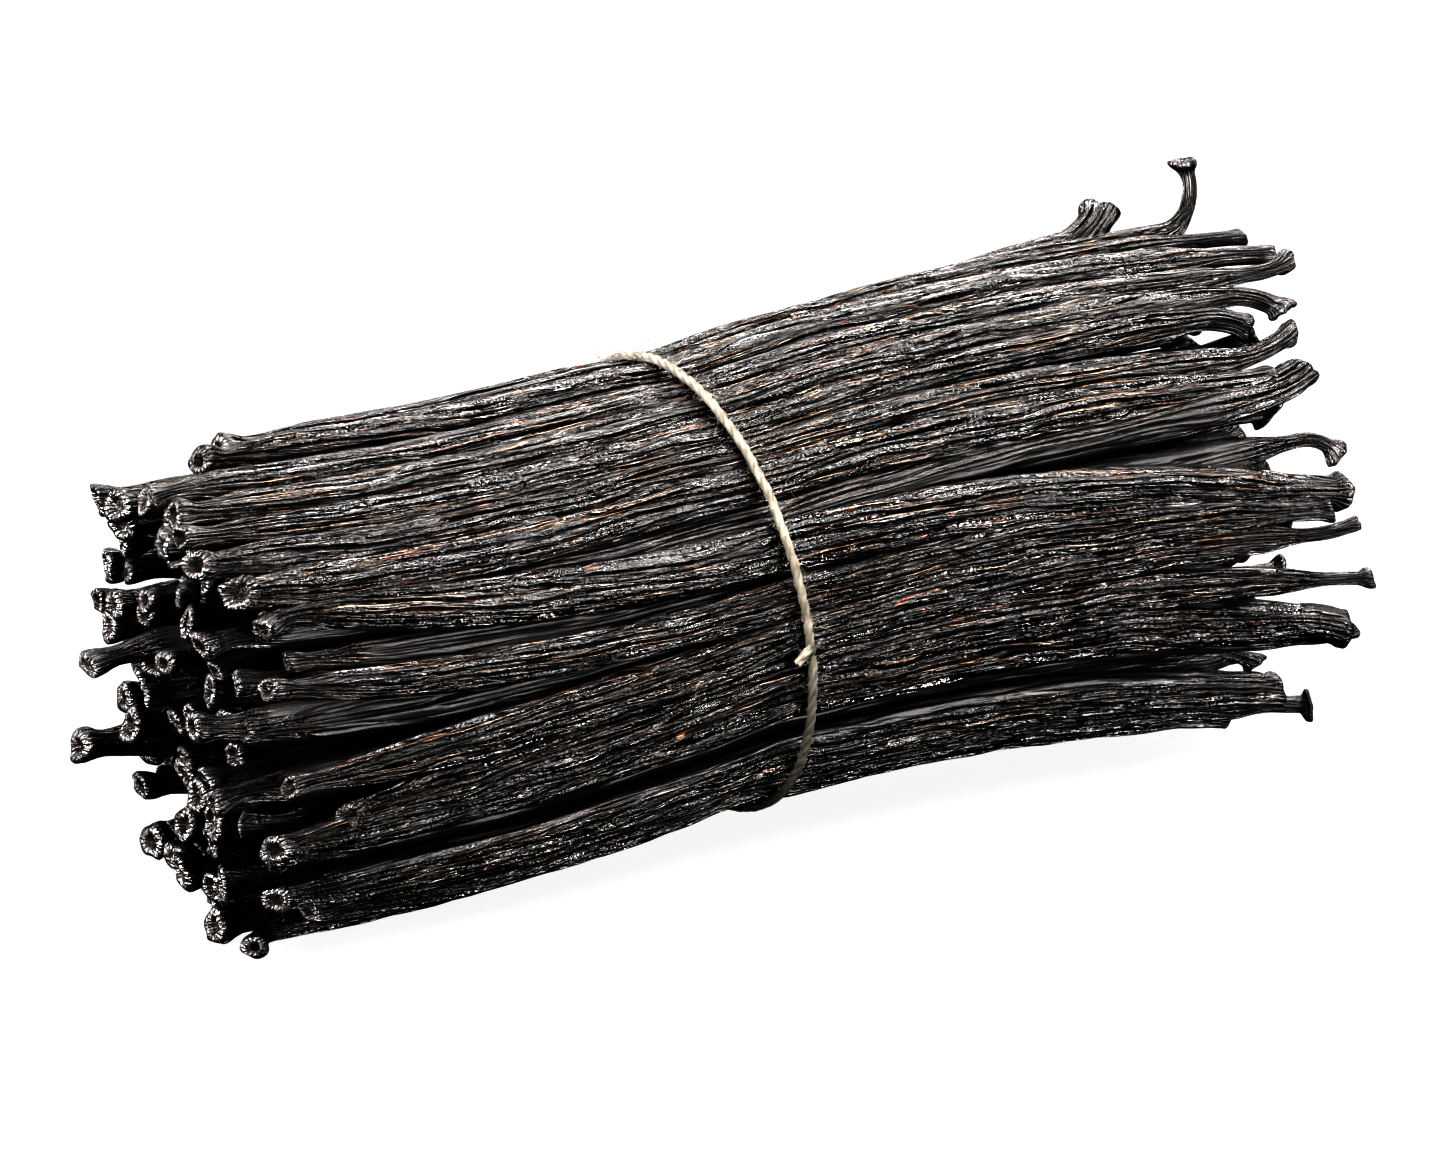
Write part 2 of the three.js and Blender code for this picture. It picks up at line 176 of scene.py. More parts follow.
# The other pods are drawn by lot, within these ranges
LOT = {
    "crowding": (-1.5, 1.5),
    "depth": (0, 1),
    "drift": (-4, 4),
    "size": (0.9, 1.08),
    "flower_neck": (0.5, 0.76),
    "stem_neck": (0.36, 0.62),
    "curl_length": (8, 12),
    "curl_turn": (0, 25),
    "crook_length": (7, 12),
    "crook_turn": (0, 50),
    "heading": (-180, 180),
}

# Park and Miller's random numbers: the same lots as the solids are drawn by
MODULUS = 2147483647
MULTIPLIER = 16807
FIRST_DRAW = 191
OWN_DRAWS = 1000  # the lots for each pod's tips are numbered from here


class Lots:
    """Draws the same numbers in the same order as the solids' program."""

    def __init__(self):
        self.draw = FIRST_DRAW

    def __call__(self, low, high):
        self.draw = (self.draw * MULTIPLIER) % MODULUS
        return low + ((high - low) * self.draw) / MODULUS


USUAL_POD = {
    "size": 1.0,
    "sunk": 0.0,
    "lift": (0, 0),
    "necks": (FLOWER_NECK, STEM_NECK),
    "flare": FOOT_FLARE,
    "curl": (10, 0, 0),
    "crook": (8, 0, 0),
    "face": None,
}


def pod(clocks, ends, **fields):
    """A pod with every field filled in."""
    made = {**USUAL_POD, **fields, "clocks": clocks, "ends": ends}
    made["radius"] = made["size"] * POD_WIDTH / 2
    return made


def lot_pod(lots, clock, sunk):
    """A pod drawn by lot, round about one clock and one depth under the skin."""
    radius = WAIST_RADIUS - sunk
    turn = math.radians(clock)
    slant = -radius * (SLANT_Y * math.cos(turn) + SLANT_Z * math.sin(turn))
    clocks = (clock + lots(*LOT["drift"]), clock, clock + lots(*LOT["drift"]))
    left = LEFT_END + slant + lots(-END_SCATTER, END_SCATTER) - LONGEST * lots(0, 1) ** LONG_RARITY
    right = RIGHT_END + lots(-END_SCATTER, END_SCATTER)
    return pod(
        clocks,
        (left, right),
        size=lots(*LOT["size"]),
        sunk=sunk,
        necks=(lots(*LOT["flower_neck"]), lots(*LOT["stem_neck"])),
        curl=(lots(*LOT["curl_length"]), lots(*LOT["curl_turn"]), lots(*LOT["heading"])),
        crook=(lots(*LOT["crook_length"]), lots(*LOT["crook_turn"]), lots(*LOT["heading"])),
    )


def all_pods():
    """The front, far-side and inner pods, as three lists."""
    lots = Lots()
    step = (BACK_END - BACK_START) / BACK_PODS
    far = []
    for i in range(BACK_PODS):
        clock = BACK_START + step * (i + 0.5) + lots(*LOT["crowding"])
        far.append(lot_pod(lots, clock, lots(*LOT["depth"])))
    inner = []
    for ring, count in enumerate(INNER_RINGS):
        start = lots(0, 360)
        for i in range(count):
            clock = start + 360 * i / count + lots(*LOT["crowding"])
            inner.append(lot_pod(lots, clock, RING_STEP * (ring + 1)))
    return [pod(**p) for p in FRONT_PODS], far, inner


FRONT, FAR, INNER = all_pods()


def skin_radius(x):
    """Radius of the bundle at X: pinched by the twine, and spread towards both ends."""
    spread = np.where(x < 0, LEFT_SPREAD, RIGHT_SPREAD)
    pinch = PINCH * np.exp(-(((x - TIED_AT) / PINCH_REACH) ** 2))
    return WAIST_RADIUS - pinch + spread * (x / SPREAD_AT) ** 2


def sway(x):
    """How far the bundle's middle line lies over its axis at X."""
    return SWAY * np.sin(np.pi * x / SWAY_SPAN)


def unit(v):
    """Vectors drawn out or in to a length of 1."""
    return v / np.linalg.norm(v, axis=-1, keepdims=True)


def straight_frame(p, x):
    """Middle of the pod at each X, and the directions off the bundle and up the clock there."""
    right = x >= 0
    reach = np.abs(x) / SPREAD_AT
    waist = p["clocks"][1]
    clock = np.radians(waist + (np.where(right, p["clocks"][2], p["clocks"][0]) - waist) * reach**DRIFT_BEND)
    share = max(1 - (p["sunk"] + p["radius"] * POD_FLATNESS) / WAIST_RADIUS, 0)
    radius = skin_radius(x) * share + np.where(right, p["lift"][1], p["lift"][0]) * reach**LIFT_BEND
    zero = np.zeros_like(clock)
    off = np.stack([zero, -np.cos(clock), np.sin(clock)], 1)
    up = np.stack([zero, np.sin(clock), np.cos(clock)], 1)
    return np.stack([x, zero, sway(x)], 1) + radius[:, None] * off, off, up


def turned(v, axis, angle):
    """Vectors turned about one axis by an angle each (Rodrigues)."""
    c, s = np.cos(angle)[:, None], np.sin(angle)[:, None]
    return v * c + np.cross(axis, v) * s + axis * (v @ axis)[:, None] * (1 - c)


def pod_frame(p, along):
    """The same at distances along the pod from its flower tip: the ends bend as arcs of a circle."""
    length = p["ends"][1] - p["ends"][0]
    centre, off, up = straight_frame(p, p["ends"][0] + along)
    for way, (reach, turn, heading), root, past in (
        (-1, p["curl"], p["ends"][0] + p["curl"][0], p["curl"][0] - along),
        (1, p["crook"], p["ends"][1] - p["crook"][0], along - (length - p["crook"][0])),
    ):
        bent = past > 0
        c0, off0, up0 = (a[0] for a in straight_frame(p, np.array([float(root)])))
        near = straight_frame(p, np.array([float(c0[0] - way)]))[0][0]
        ahead = unit(c0 - near)
        turn, heading = math.radians(max(turn, LEAST_TURN)), math.radians(heading)
        toward = off0 * math.cos(heading) + up0 * math.sin(heading)
        toward = unit(toward - ahead * (toward @ ahead))
        bend_radius = reach / turn
        angle = past[bent] / bend_radius
        axis = unit(np.cross(ahead, toward))
        arc = np.outer(np.sin(angle), ahead) + np.outer(1 - np.cos(angle), toward)
        centre[bent] = c0 + bend_radius * arc
        off[bent] = turned(np.tile(off0, (len(angle), 1)), axis, angle)
        up[bent] = turned(np.tile(up0, (len(angle), 1)), axis, angle)
    return centre, off, up


def smooth_through(at, knots, values):
    """A curve through the knots that never overshoots them (Fritsch and Butland's slopes)."""
    step = np.diff(knots)
    slope = np.diff(values) / step
    same = slope[:-1] * slope[1:] > 0
    mean = np.zeros(len(step) - 1)
    mean[same] = 2 / (1 / slope[:-1][same] + 1 / slope[1:][same])
    tangent = np.concatenate([[slope[0]], mean, [slope[-1]]])
    i = np.clip(np.searchsorted(knots, at) - 1, 0, len(step) - 1)
    t = (at - knots[i]) / step[i]
    a, b = values[i], values[i + 1]
    m, n = tangent[i] * step[i], tangent[i + 1] * step[i]
    return a + t * (m + t * (3 * (b - a) - 2 * m - n + t * (m + n - 2 * (b - a))))


def ease(low, high, value):
    """A smooth step: 0 under low, 1 over high."""
    t = np.clip((value - low) / (high - low), 0, 1)
    return t * t * (3 - 2 * t)


# ---- A tip, from the middle of its sunken face out over its rolled lip
# Share of the face's radius, share of the dish's depth
FACE_RINGS = ((0.0, 0.8), (0.2, 0.85), (0.4, 1.0), (0.6, 1.0), (0.8, 0.7), (0.93, 0.25))
# Degrees round the roll of the lip, and how pale its dry edge is there
LIP_RINGS = ((155, 0.0), (118, 0.0), (104, 0.8), (92, 0.1), (55, 0.0), (20, 0.0))
SCAR_LIP = (0.24, 0.42)  # radius of the roll over the scar's
FOOT_LIP = 0.26
SCAR_DISH = (0.1, 0.7)  # mm that the face is sunk
FOOT_DISH = (0.1, 0.4)
SCAR_LEAN = (-0.3, 0.5)  # how far a tip leans off square, over its radius
FOOT_LEAN = (-0.5, 0.5)
SIDEWAYS_LEAN = 0.6  # a scar's lean up the clock over a foot's
LEAN_SLIMMING = 0.35  # power by which a slanting scar is drawn thinner
SCAR_LEAN_REACH = 6  # mm from a tip over which its lean dies away
FOOT_LEAN_REACH = 4
PLEATS = 0.6  # how far the lip is drawn in
PLEAT_LENGTH = 3.5
FOOT_FACE = 0.5  # how much of a scar's colour a foot's face has
FOOT_RIM = 0.35

# ---- The skin between the tips
FLOWER_RINGS = (0.3, 0.7, 1.2, 1.7, 2.3)  # mm from the lip to the first rings of the skin
STEM_RINGS = (0.25, 0.6, 1.0, 1.5, 2.0, 2.6)
FLOWER_EVEN = 3.2  # mm from each tip where even rings begin
STEM_EVEN = 3.8
FLOWER_REACH = 20  # mm from each tip over which the rings lie close together
STEM_REACH = 26
LIP_TUCK = 0.97  # width just behind a rim over the rim's
FOOT_TUCK_AT = 0.9  # mm from the stem tip
TAPER_FULLNESS = 0.55  # 0.5 is halfway between the stem and the body
NECK_SHRINK = 0.8  # the skin shrinks to this share on the flower neck
CONVERGING = 0.6  # how much the folds crowd together where a pod narrows
LEAST_FOLDS = 0.2  # depth of the folds where a pod is thinnest
FOLDS_FADE_IN = (0.2, 3.0)  # mm from a tip
FLOWER_SPAN = 14  # mm from each tip over which the section and the finish change
STEM_SPAN = 20
LOBE_HEIGHTS = (0.045, 0.025, 0.03)  # over the radius: everywhere, and more at the flower and the stem end


def tip_rings(radius, lip, dish):
    """Rings of a tip: mm from the tip, radius, how much of it is face, and how pale it is."""
    share, depth = np.array(FACE_RINGS).T
    turn, pale = np.array(LIP_RINGS).T
    turn = np.radians(turn)
    along = np.concatenate([lip + dish * depth, lip * (1 - np.sin(turn))])
    girth = np.concatenate([(radius - 2 * lip) * share, radius - lip + lip * np.cos(turn)])
    face = np.concatenate([np.ones(len(share)), ease(0, 1, -np.cos(turn))])
    return along, girth, face, np.concatenate([0 * share, pale])


def skin_rings(p, tips, lips, rings):
    """Distances along a pod's skin, and its radius there, between the lips of its two tips."""
    full = p["radius"]
    length = p["ends"][1] - p["ends"][0]
    neck, stem = full * p["necks"][0], full * p["necks"][1]
    knots = [(lips[0], tips[0]), (SCAR_RIM, tips[0] * LIP_TUCK), (NECK_AT, neck * NECK_SHRINK)]
    knots += [(SHOULDER_AT, 0.5 * (neck + full)), *((x - p["ends"][0], full) for x in BODY_RINGS)]
    tail = [(STEM_TAPER, TAPER_FULLNESS * (stem + full)), (STEM_LENGTH, stem), (FOOT_LENGTH, stem)]
    tail += [(FOOT_TUCK_AT, tips[1] * LIP_TUCK), (lips[1], tips[1])]
    knots = np.array(knots + [(length - back, radius) for back, radius in tail], float)

    fine, coarse = rings
    flower = [*(lips[0] + np.array(FLOWER_RINGS)), *np.arange(FLOWER_EVEN, FLOWER_REACH, fine)]
    back = np.array([*(lips[1] + np.array(STEM_RINGS)), *np.arange(STEM_EVEN, STEM_REACH, fine)])
    count = int((length - FLOWER_REACH - STEM_REACH) / coarse) + 1
    at = np.array([*flower, *np.linspace(FLOWER_REACH, length - STEM_REACH, count), *(length - back[::-1])])
    return at, smooth_through(at, knots[:, 0], knots[:, 1])


def spine(p, number, rings):
    """A pod's middle line as rows of values, one for each ring that is lofted round it."""
    own = random.Random(OWN_DRAWS + number)
    full = p["radius"]
    length = p["ends"][1] - p["ends"][0]
    lean = p["face"] or (own.uniform(*FOOT_LEAN) * SIDEWAYS_LEAN, own.uniform(*SCAR_LEAN))
    foot_lean = (own.uniform(*FOOT_LEAN), own.uniform(*FOOT_LEAN))
    scar = min(full * p["necks"][0] * SCAR_FLARE, full) / (1 + math.hypot(*lean) ** 2) ** LEAN_SLIMMING
    foot = min(full * p["necks"][1] * p["flare"], full)
    lips = (scar * own.uniform(*SCAR_LIP), foot * FOOT_LIP)
    skin_at, skin_girth = skin_rings(p, (scar, foot), lips, rings)
    along_a, girth_a, face_a, pale_a = tip_rings(scar, lips[0], own.uniform(*SCAR_DISH))
    along_b, girth_b, face_b, pale_b = (v[::-1] for v in tip_rings(foot, lips[1], own.uniform(*FOOT_DISH)))
    along = np.concatenate([along_a, skin_at, length - along_b])
    girth = np.concatenate([girth_a, skin_girth, girth_b])
    narrowed = np.concatenate([0 * girth_a + scar, skin_girth, 0 * girth_b + foot])
    blank = np.zeros(len(skin_at))
    face = np.concatenate([face_a, blank, face_b])
    back = length - along
    nearest = np.minimum(along, back)
    tip, end = 1 - ease(0, FLOWER_SPAN, along), 1 - ease(0, STEM_SPAN, back)
    near_tip, near_end = 1 - ease(0, SCAR_LEAN_REACH, along), 1 - ease(0, FOOT_LEAN_REACH, back)
    usual_lobe, tip_lobe, end_lobe = LOBE_HEIGHTS

    # Each tip leans off square, and is drawn back by as much as its lean would push it out
    centre, off, up = pod_frame(p, along)
    drawn_back = math.hypot(*lean) * scar * near_tip - math.hypot(*foot_lean) * foot * near_end
    centre = centre + np.cross(up, off) * drawn_back[:, None]
    return {
        "centre": centre,
        "outward": off,
        "upward": up,
        "along": along,
        "girth": girth,
        "breadth": girth * (full / narrowed) ** CONVERGING,
        "lot": np.full(len(along), own.random()),
        "sunk": np.full(len(along), p["sunk"]),
        "scar": np.concatenate([face_a, blank, FOOT_FACE * face_b]),
        "rim": np.concatenate([pale_a, blank, FOOT_RIM * pale_b]),
        "ends": np.clip(tip + end, 0, 1),
        "wrinkle": np.clip(girth / full, LEAST_FOLDS, 1) * ease(*FOLDS_FADE_IN, nearest) * (1 - face),
        "lobe": usual_lobe + tip_lobe * tip + end_lobe * end,
        "fray": PLEATS * (1 - ease(0, PLEAT_LENGTH, nearest)),
        "lean_up": lean[0] * near_tip + foot_lean[0] * near_end,
        "lean_off": lean[1] * near_tip + foot_lean[1] * near_end,
    }


def axis_in_frame():
    """Where the bundle's axis crosses the waist, in metres in the row frame, found from the twine's box."""
    low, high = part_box("twine")
    middle_x, middle_z = (low.x + high.x) / 2, (low.z + high.z) / 2
    return np.array([middle_x - TIED_AT * MM, high.y - TWINE_OUTSIDE * MM, middle_z - sway(TIED_AT) * MM])


AXIS = axis_in_frame()


def linear(code):
    """An sRGB hex colour as linear RGB with alpha."""
    channels = [int(code[i : i + 2], 16) / 255 for i in (1, 3, 5)]
    return (*(c / 12.92 if c <= 0.04045 else ((c + 0.055) / 1.055) ** 2.4 for c in channels), 1.0)


# Kinds of node that are used often, some of them with their operation
MATH = "ShaderNodeMath"
PLUS = (MATH, "ADD")
MINUS = (MATH, "SUBTRACT")
TIMES = (MATH, "MULTIPLY")
TIMES_PLUS = (MATH, "MULTIPLY_ADD")
OVER = (MATH, "DIVIDE")
COSINE = (MATH, "COSINE")
SINE = (MATH, "SINE")
VECTOR_MATH = "ShaderNodeVectorMath"
VECTOR_MINUS = (VECTOR_MATH, "SUBTRACT")
VECTOR_TIMES = (VECTOR_MATH, "MULTIPLY")
VECTOR_TIMES_PLUS = (VECTOR_MATH, "MULTIPLY_ADD")
VECTOR_SCALE = (VECTOR_MATH, "SCALE")
RANGE = "ShaderNodeMapRange"
NOISE = "ShaderNodeTexNoise"
MIX = "ShaderNodeMix"
ATTRIBUTE = "ShaderNodeAttribute"
NAMED = "GeometryNodeInputNamedAttribute"
STORE = "GeometryNodeStoreNamedAttribute"


def add_node(tree, kind, inputs=(), out=0, **settings):
    """Adds a node with its settings, fills or links its inputs by place or name, and returns one output."""
    if isinstance(kind, tuple):
        kind, settings["operation"] = kind
    node = tree.nodes.new(kind)
    for name, value in settings.items():
        setattr(node, name, value)
    for socket, value in inputs.items() if isinstance(inputs, dict) else enumerate(inputs):
        if isinstance(value, bpy.types.NodeSocket):
            tree.links.new(value, node.inputs[socket])
        else:
            node.inputs[socket].default_value = value
    return node.outputs[out] if node.outputs else node


# ---- Folds that run along a pod: how many round it, how many places they wander, over what length and
# width in mm
CREASES = (6, 1.5, 40.0, 4.5)
FURROWS = (15, 2.6, 18.0, 3.6)
RIBS = (45, 4.2, 9.0, 1.9)
CREASE_REACH = 0.17  # half the width of a fold over the spacing
FURROW_REACH = 0.23
FOLD_SHARPNESS = 1.4
SHALLOW = 0.35  # depth of a fold outside its deep patches
SWELL_PACE = (0.11, 0.42, 0.42)  # swells per mm, along and across
THINNEST = 0.45  # the folds leave at least this share of a pod's radius
PLEAT_PACE = 1.1  # pleats per radius
SCAR_PACE = 0.8  # bumps of a scar's face per mm
GRAIN_APART = 997.0  # mm along which the pods' grains are drawn apart
WELD = 1e-6  # metres between points that are one

# Waves of a pod's section: how many lobes, their height, how they turn per mm, and where they start
LOBE_WAVES = ((2.0, 1.0, 0.021, 93.0), (3.0, 1.0, -0.034, 41.0), (5.0, 0.5, 0.05, 67.0))

# ---- Patches along a pod: mm long, mm wide, and the noise where they begin and where they are full
DEEP_CREASES = (30.0, 4.0, 0.36, 0.6)
DEEP_FURROWS = (14.0, 1.7, 0.36, 0.6)
BROWN = (14.0, 1.6, 0.45, 0.68)
BROKEN = (12.0, 0.5, 0.36, 0.5)
REDDER = (12.0, 1.2, 0.48, 0.64)
MOTTLED = (1.6, 1.1, 0.34, 0.62)
BROKEN_RIM = (40.0, 1.5, 0.42, 0.6)
WIPED = (12.0, 1.8, 0.36, 0.64)


def per_mm(length, width):
    """Units per mm along a pod and twice across it, where one is so many mm long and wide."""
    return 1 / length, 1 / width, 1 / width


def off_fold(node, turn, grain, count, wander, length, width):
    """How far a point lies from the nearest of some long folds round a pod, over their spacing."""
    stretched = node(VECTOR_TIMES, (grain, per_mm(length, width)))
    noise = node(NOISE, {"Vector": stretched, "Scale": 1.0, "Detail": 1.0})
    shift = node(TIMES, (noise, wander))
    place = node(TIMES_PLUS, (turn, count / (2 * math.pi), shift))
    return node(MATH, (place, 0.5), operation="PINGPONG")


def folded(node, off, reach):
    """Depth of a sharp fold: 1 along its bottom, 0 past its reach."""
    return node(MATH, (node(RANGE, (off, 0.0, reach, 1.0, 0.0)), FOLD_SHARPNESS), operation="POWER")


def patches(node, grain, length, width, low, high):
    """Soft-edged patches that are drawn out along a pod: 0 under low, 1 over high."""
    stretched = node(VECTOR_TIMES, (grain, per_mm(length, width)))
    noise = node(NOISE, {"Vector": stretched, "Scale": 1.0, "Detail": 2.0})
    return node(RANGE, (noise, low, high, 0.0, 1.0), interpolation_type="SMOOTHSTEP")


def new_tree(name, sockets):
    """An empty Geometry Nodes tree with named inputs, and their sockets."""
    tree = bpy.data.node_groups.new(name, "GeometryNodeTree")
    tree.interface.new_socket("Geometry", in_out="OUTPUT", socket_type="NodeSocketGeometry")
    for label, kind in sockets:
        tree.interface.new_socket(label, in_out="INPUT", socket_type="NodeSocket" + kind)
    return tree, tree.nodes.new("NodeGroupInput").outputs


POD_SOCKETS = (
    ("Geometry", "Geometry"),
    ("Sides", "Int"),
    ("Crowding", "Float"),
    ("Flatness", "Float"),
    ("Crease Depth", "Float"),
    ("Furrow Depth", "Float"),
    ("Swell", "Float"),
    ("Scar Relief", "Float"),
    ("Box Low", "Vector"),
    ("Box High", "Vector"),
    ("Material", "Material"),
)
SPINE_VALUES = ("along", "girth", "breadth", "wrinkle", "lobe", "fray", "lean_up", "lean_off", "sunk", "turn")
SPINE_PLACES = ("centre", "outward", "upward")


def pod_relief(node, given, value, turn, across, out):
    """Where each point of the skin goes, in mm up the clock, off the bundle and ahead, and its grain."""
    tint = node(TIMES, (value["lot"], GRAIN_APART))
    grain = node(
        "ShaderNodeCombineXYZ",
        (
            node(PLUS, (tint, value["along"])),
            node(TIMES, (across, value["breadth"])),
            node(TIMES, (out, value["breadth"])),
        ),
    )
    swell = node(VECTOR_TIMES, (grain, SWELL_PACE))
    swell = node(NOISE, {"Vector": swell, "Scale": 1.0})
    relief = node(TIMES, (node(MINUS, (swell, 0.5)), given["Swell"]))
    for folds, reach, depth, deep in (
        (CREASES, CREASE_REACH, "Crease Depth", DEEP_CREASES),
        (FURROWS, FURROW_REACH, "Furrow Depth", DEEP_FURROWS),
    ):
        fold = folded(node, off_fold(node, turn, grain, *folds), reach)
        uneven = node(RANGE, (patches(node, grain, *deep), 0.0, 1.0, SHALLOW, 1.0))
        fold = node(TIMES, (node(TIMES, (fold, uneven)), given[depth]))
        relief = node(MINUS, (relief, fold))
    relief = node(TIMES, (relief, value["wrinkle"]))

    # A section of two, three and five lobes that turn slowly along the pod
    lobes = 0.0
    for count, height, drift, phase in LOBE_WAVES:
        drift = node(TIMES, (value["along"], drift))
        wander = node(TIMES_PLUS, (value["lot"], phase, drift))
        wave = node(COSINE, (node(TIMES_PLUS, (turn, count, wander)),))
        lobes = node(TIMES_PLUS, (wave, height, lobes))
    shape = node(TIMES_PLUS, (lobes, value["lobe"], 1.0))
    radius = node(TIMES_PLUS, (shape, value["girth"], relief))
    radius = node(MATH, (radius, node(TIMES, (value["girth"], THINNEST))), operation="MAXIMUM")
    sideways = node(TIMES, (across, radius))
    outwards = node(TIMES, (node(TIMES, (out, radius)), given["Flatness"]))

    # Every tip leans off square, its lip is drawn into pleats, and its face is rough
    pleat_at = node("ShaderNodeCombineXYZ", (across, out, tint))
    pleat = node(NOISE, {"Vector": pleat_at, "Scale": PLEAT_PACE, "Detail": 0.0})
    pleat = node(TIMES, (node(MINUS, (pleat, 0.5)), value["fray"]))
    ahead = node(TIMES, (pleat, value["girth"]))
    for side, lean in ((sideways, "lean_up"), (outwards, "lean_off")):
        ahead = node(TIMES_PLUS, (side, value[lean], ahead))
    rough = node(NOISE, {"Vector": grain, "Scale": SCAR_PACE, "Detail": 2.0})
    rough = node(TIMES, (node(MINUS, (rough, 0.5)), value["scar"]))
    ahead = node(TIMES_PLUS, (rough, given["Scar Relief"], ahead))
    return sideways, outwards, ahead, grain


def pod_skin_tree():
    """Lofts shrunken skins round pod spines: a ring for each point, creased and furrowed lengthwise."""
    tree, given = new_tree("pod skin", POD_SOCKETS)
    node = partial(add_node, tree)

    # A ring of points that know their turn round the section, closer together on the outer side
    ring = node("GeometryNodeCurvePrimitiveCircle", {"Resolution": given["Sides"]})
    share = node("GeometryNodeSplineParameter", out="Factor")
    share = node(TIMES, (share, 2 * math.pi))
    ring = node(STORE, {"Geometry": ring, "Name": "turn", "Value": share})
    path = node("GeometryNodeMeshToCurve", {"Mesh": given["Geometry"]})
    skin = node("GeometryNodeCurveToMesh", {"Curve": path, "Profile Curve": ring})
    names = ("lot", "scar", *SPINE_VALUES)
    value = {name: node(NAMED, {"Name": name}, data_type="FLOAT") for name in names}
    crowd = node(COSINE, (value["turn"],))
    turn = node(TIMES_PLUS, (crowd, given["Crowding"], value["turn"]))
    across, out = node(COSINE, (turn,)), node(SINE, (turn,))
    *shifts, grain = pod_relief(node, given, value, turn, across, out)

    place, off, up = (node(NAMED, {"Name": name}, data_type="FLOAT_VECTOR") for name in SPINE_PLACES)
    forward = node(VECTOR_MATH, (up, off), operation="CROSS_PRODUCT")
    for direction, shift in zip((up, off, forward), shifts):
        metres = node(TIMES, (shift, MM))
        place = node(VECTOR_TIMES_PLUS, (direction, metres, place))
    place = node(VECTOR_MATH, (place, given["Box Low"]), operation="MAXIMUM")
    place = node(VECTOR_MATH, (place, given["Box High"]), operation="MINIMUM")
    skin = node("GeometryNodeSetPosition", {"Geometry": skin, "Position": place})

    # The skin's material reads its place on the pod and its depth under the bundle's skin, in mm
    skin = node(STORE, {"Geometry": skin, "Name": "grain", "Value": grain}, data_type="FLOAT_VECTOR")
    inward = node(MINUS, (1.0, out))
    inward = node(TIMES, (inward, value["girth"]))
    depth = node(TIMES_PLUS, (inward, given["Flatness"], value["sunk"]))
    skin = node(STORE, {"Geometry": skin, "Name": "depth", "Value": depth})
    for name in (*SPINE_VALUES, *SPINE_PLACES):
        skin = node("GeometryNodeRemoveAttribute", {"Geometry": skin, "Name": name})
    skin = node("GeometryNodeMergeByDistance", {"Geometry": skin, "Distance": WELD})
    skin = node("GeometryNodeSetShadeSmooth", {"Geometry": skin})
    skin = node("GeometryNodeRealizeInstances", {"Geometry": skin})
    skin = node("GeometryNodeSetMaterial", {"Geometry": skin, "Material": given["Material"]})
    node("NodeGroupOutput", {"Geometry": skin})
    return tree


def line_mesh(name, points, chains, values):
    """A mesh of open or closed lines, with a value or a vector at each point."""
    mesh = bpy.data.meshes.new(name)
    mesh.from_pydata([tuple(p) for p in points], chains, [])
    for key, rows in values.items():
        rows = np.asarray(rows, np.float32)
        kind, field = ("FLOAT_VECTOR", "vector") if rows.ndim == 2 else ("FLOAT", "value")
        mesh.attributes.new(key, kind, "POINT").data.foreach_set(field, rows.ravel())
    return mesh


def grown(name, mesh, tree, settings):
    """The plain mesh that a tree makes from a line mesh, as an object of that name."""
    holder = bpy.data.objects.new(name + "_lines", mesh)
    bpy.context.scene.collection.objects.link(holder)
    modifier = holder.modifiers.new("grow", "NODES")
    modifier.node_group = tree
    for item in tree.interface.items_tree:
        if item.item_type == "SOCKET" and item.in_out == "INPUT" and item.name in settings:
            modifier[item.identifier] = settings[item.name]
    depsgraph = bpy.context.evaluated_depsgraph_get()
    made = bpy.data.meshes.new_from_object(
        holder.evaluated_get(depsgraph), preserve_all_data_layers=True, depsgraph=depsgraph
    )
    holder.modifiers.remove(modifier)
    bpy.data.objects.remove(holder)
    bpy.data.meshes.remove(mesh)
    made.name = name
    piece = bpy.data.objects.new(name, made)
    bpy.context.scene.collection.objects.link(piece)
    return piece


def signed_volume(mesh):
    """Positive where the faces of a closed mesh point outwards."""
    mesh.calc_loop_triangles()
    corners = np.empty(len(mesh.loop_triangles) * 3, np.int32)
    mesh.loop_triangles.foreach_get("vertices", corners)
    place = np.empty(len(mesh.vertices) * 3, np.float32)
    mesh.vertices.foreach_get("co", place)
    a, b, c = place.reshape(-1, 3)[corners.reshape(-1, 3)].astype(float).transpose(1, 0, 2)
    return float(np.einsum("ij,ij->i", a, np.cross(b, c)).sum() / 6)


def pods_piece(name, pods, first, rings, sides, crowding, furrow_share):
    """One piece of whole pods. Rings: mm between them near the tips and elsewhere."""
    sizes = bpy.context.scene.vanilla_pod_sizes
    rows = [spine(p, first + i, rings) for i, p in enumerate(pods)]
    chains, start = [], 0
    for row in rows:
        count = len(row["along"])
        chains += [(start + i, start + i + 1) for i in range(count - 1)]
        start += count
    values = {key: np.concatenate([row[key] for row in rows]) for key in rows[0]}
    values["centre"] = values["centre"] * MM + AXIS
    low, high = CAD_BOX
    piece = grown(
        name,
        line_mesh(name + "_spines", values["centre"], chains, values),
        bpy.data.node_groups.get("pod skin") or pod_skin_tree(),
        {
            "Sides": sides,
            "Crowding": crowding,
            "Flatness": POD_FLATNESS,
            "Crease Depth": sizes.crease_depth / MM,
            "Furrow Depth": sizes.furrow_depth / MM * furrow_share,
            "Swell": sizes.swell / MM,
            "Scar Relief": sizes.scar_relief / MM,
            "Box Low": tuple(low),
            "Box High": tuple(high),
            "Material": pod_skin(),
        },
    )
    if signed_volume(piece.data) < 0:
        piece.data.flip_normals()
    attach(piece, "root")
    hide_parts("pods")


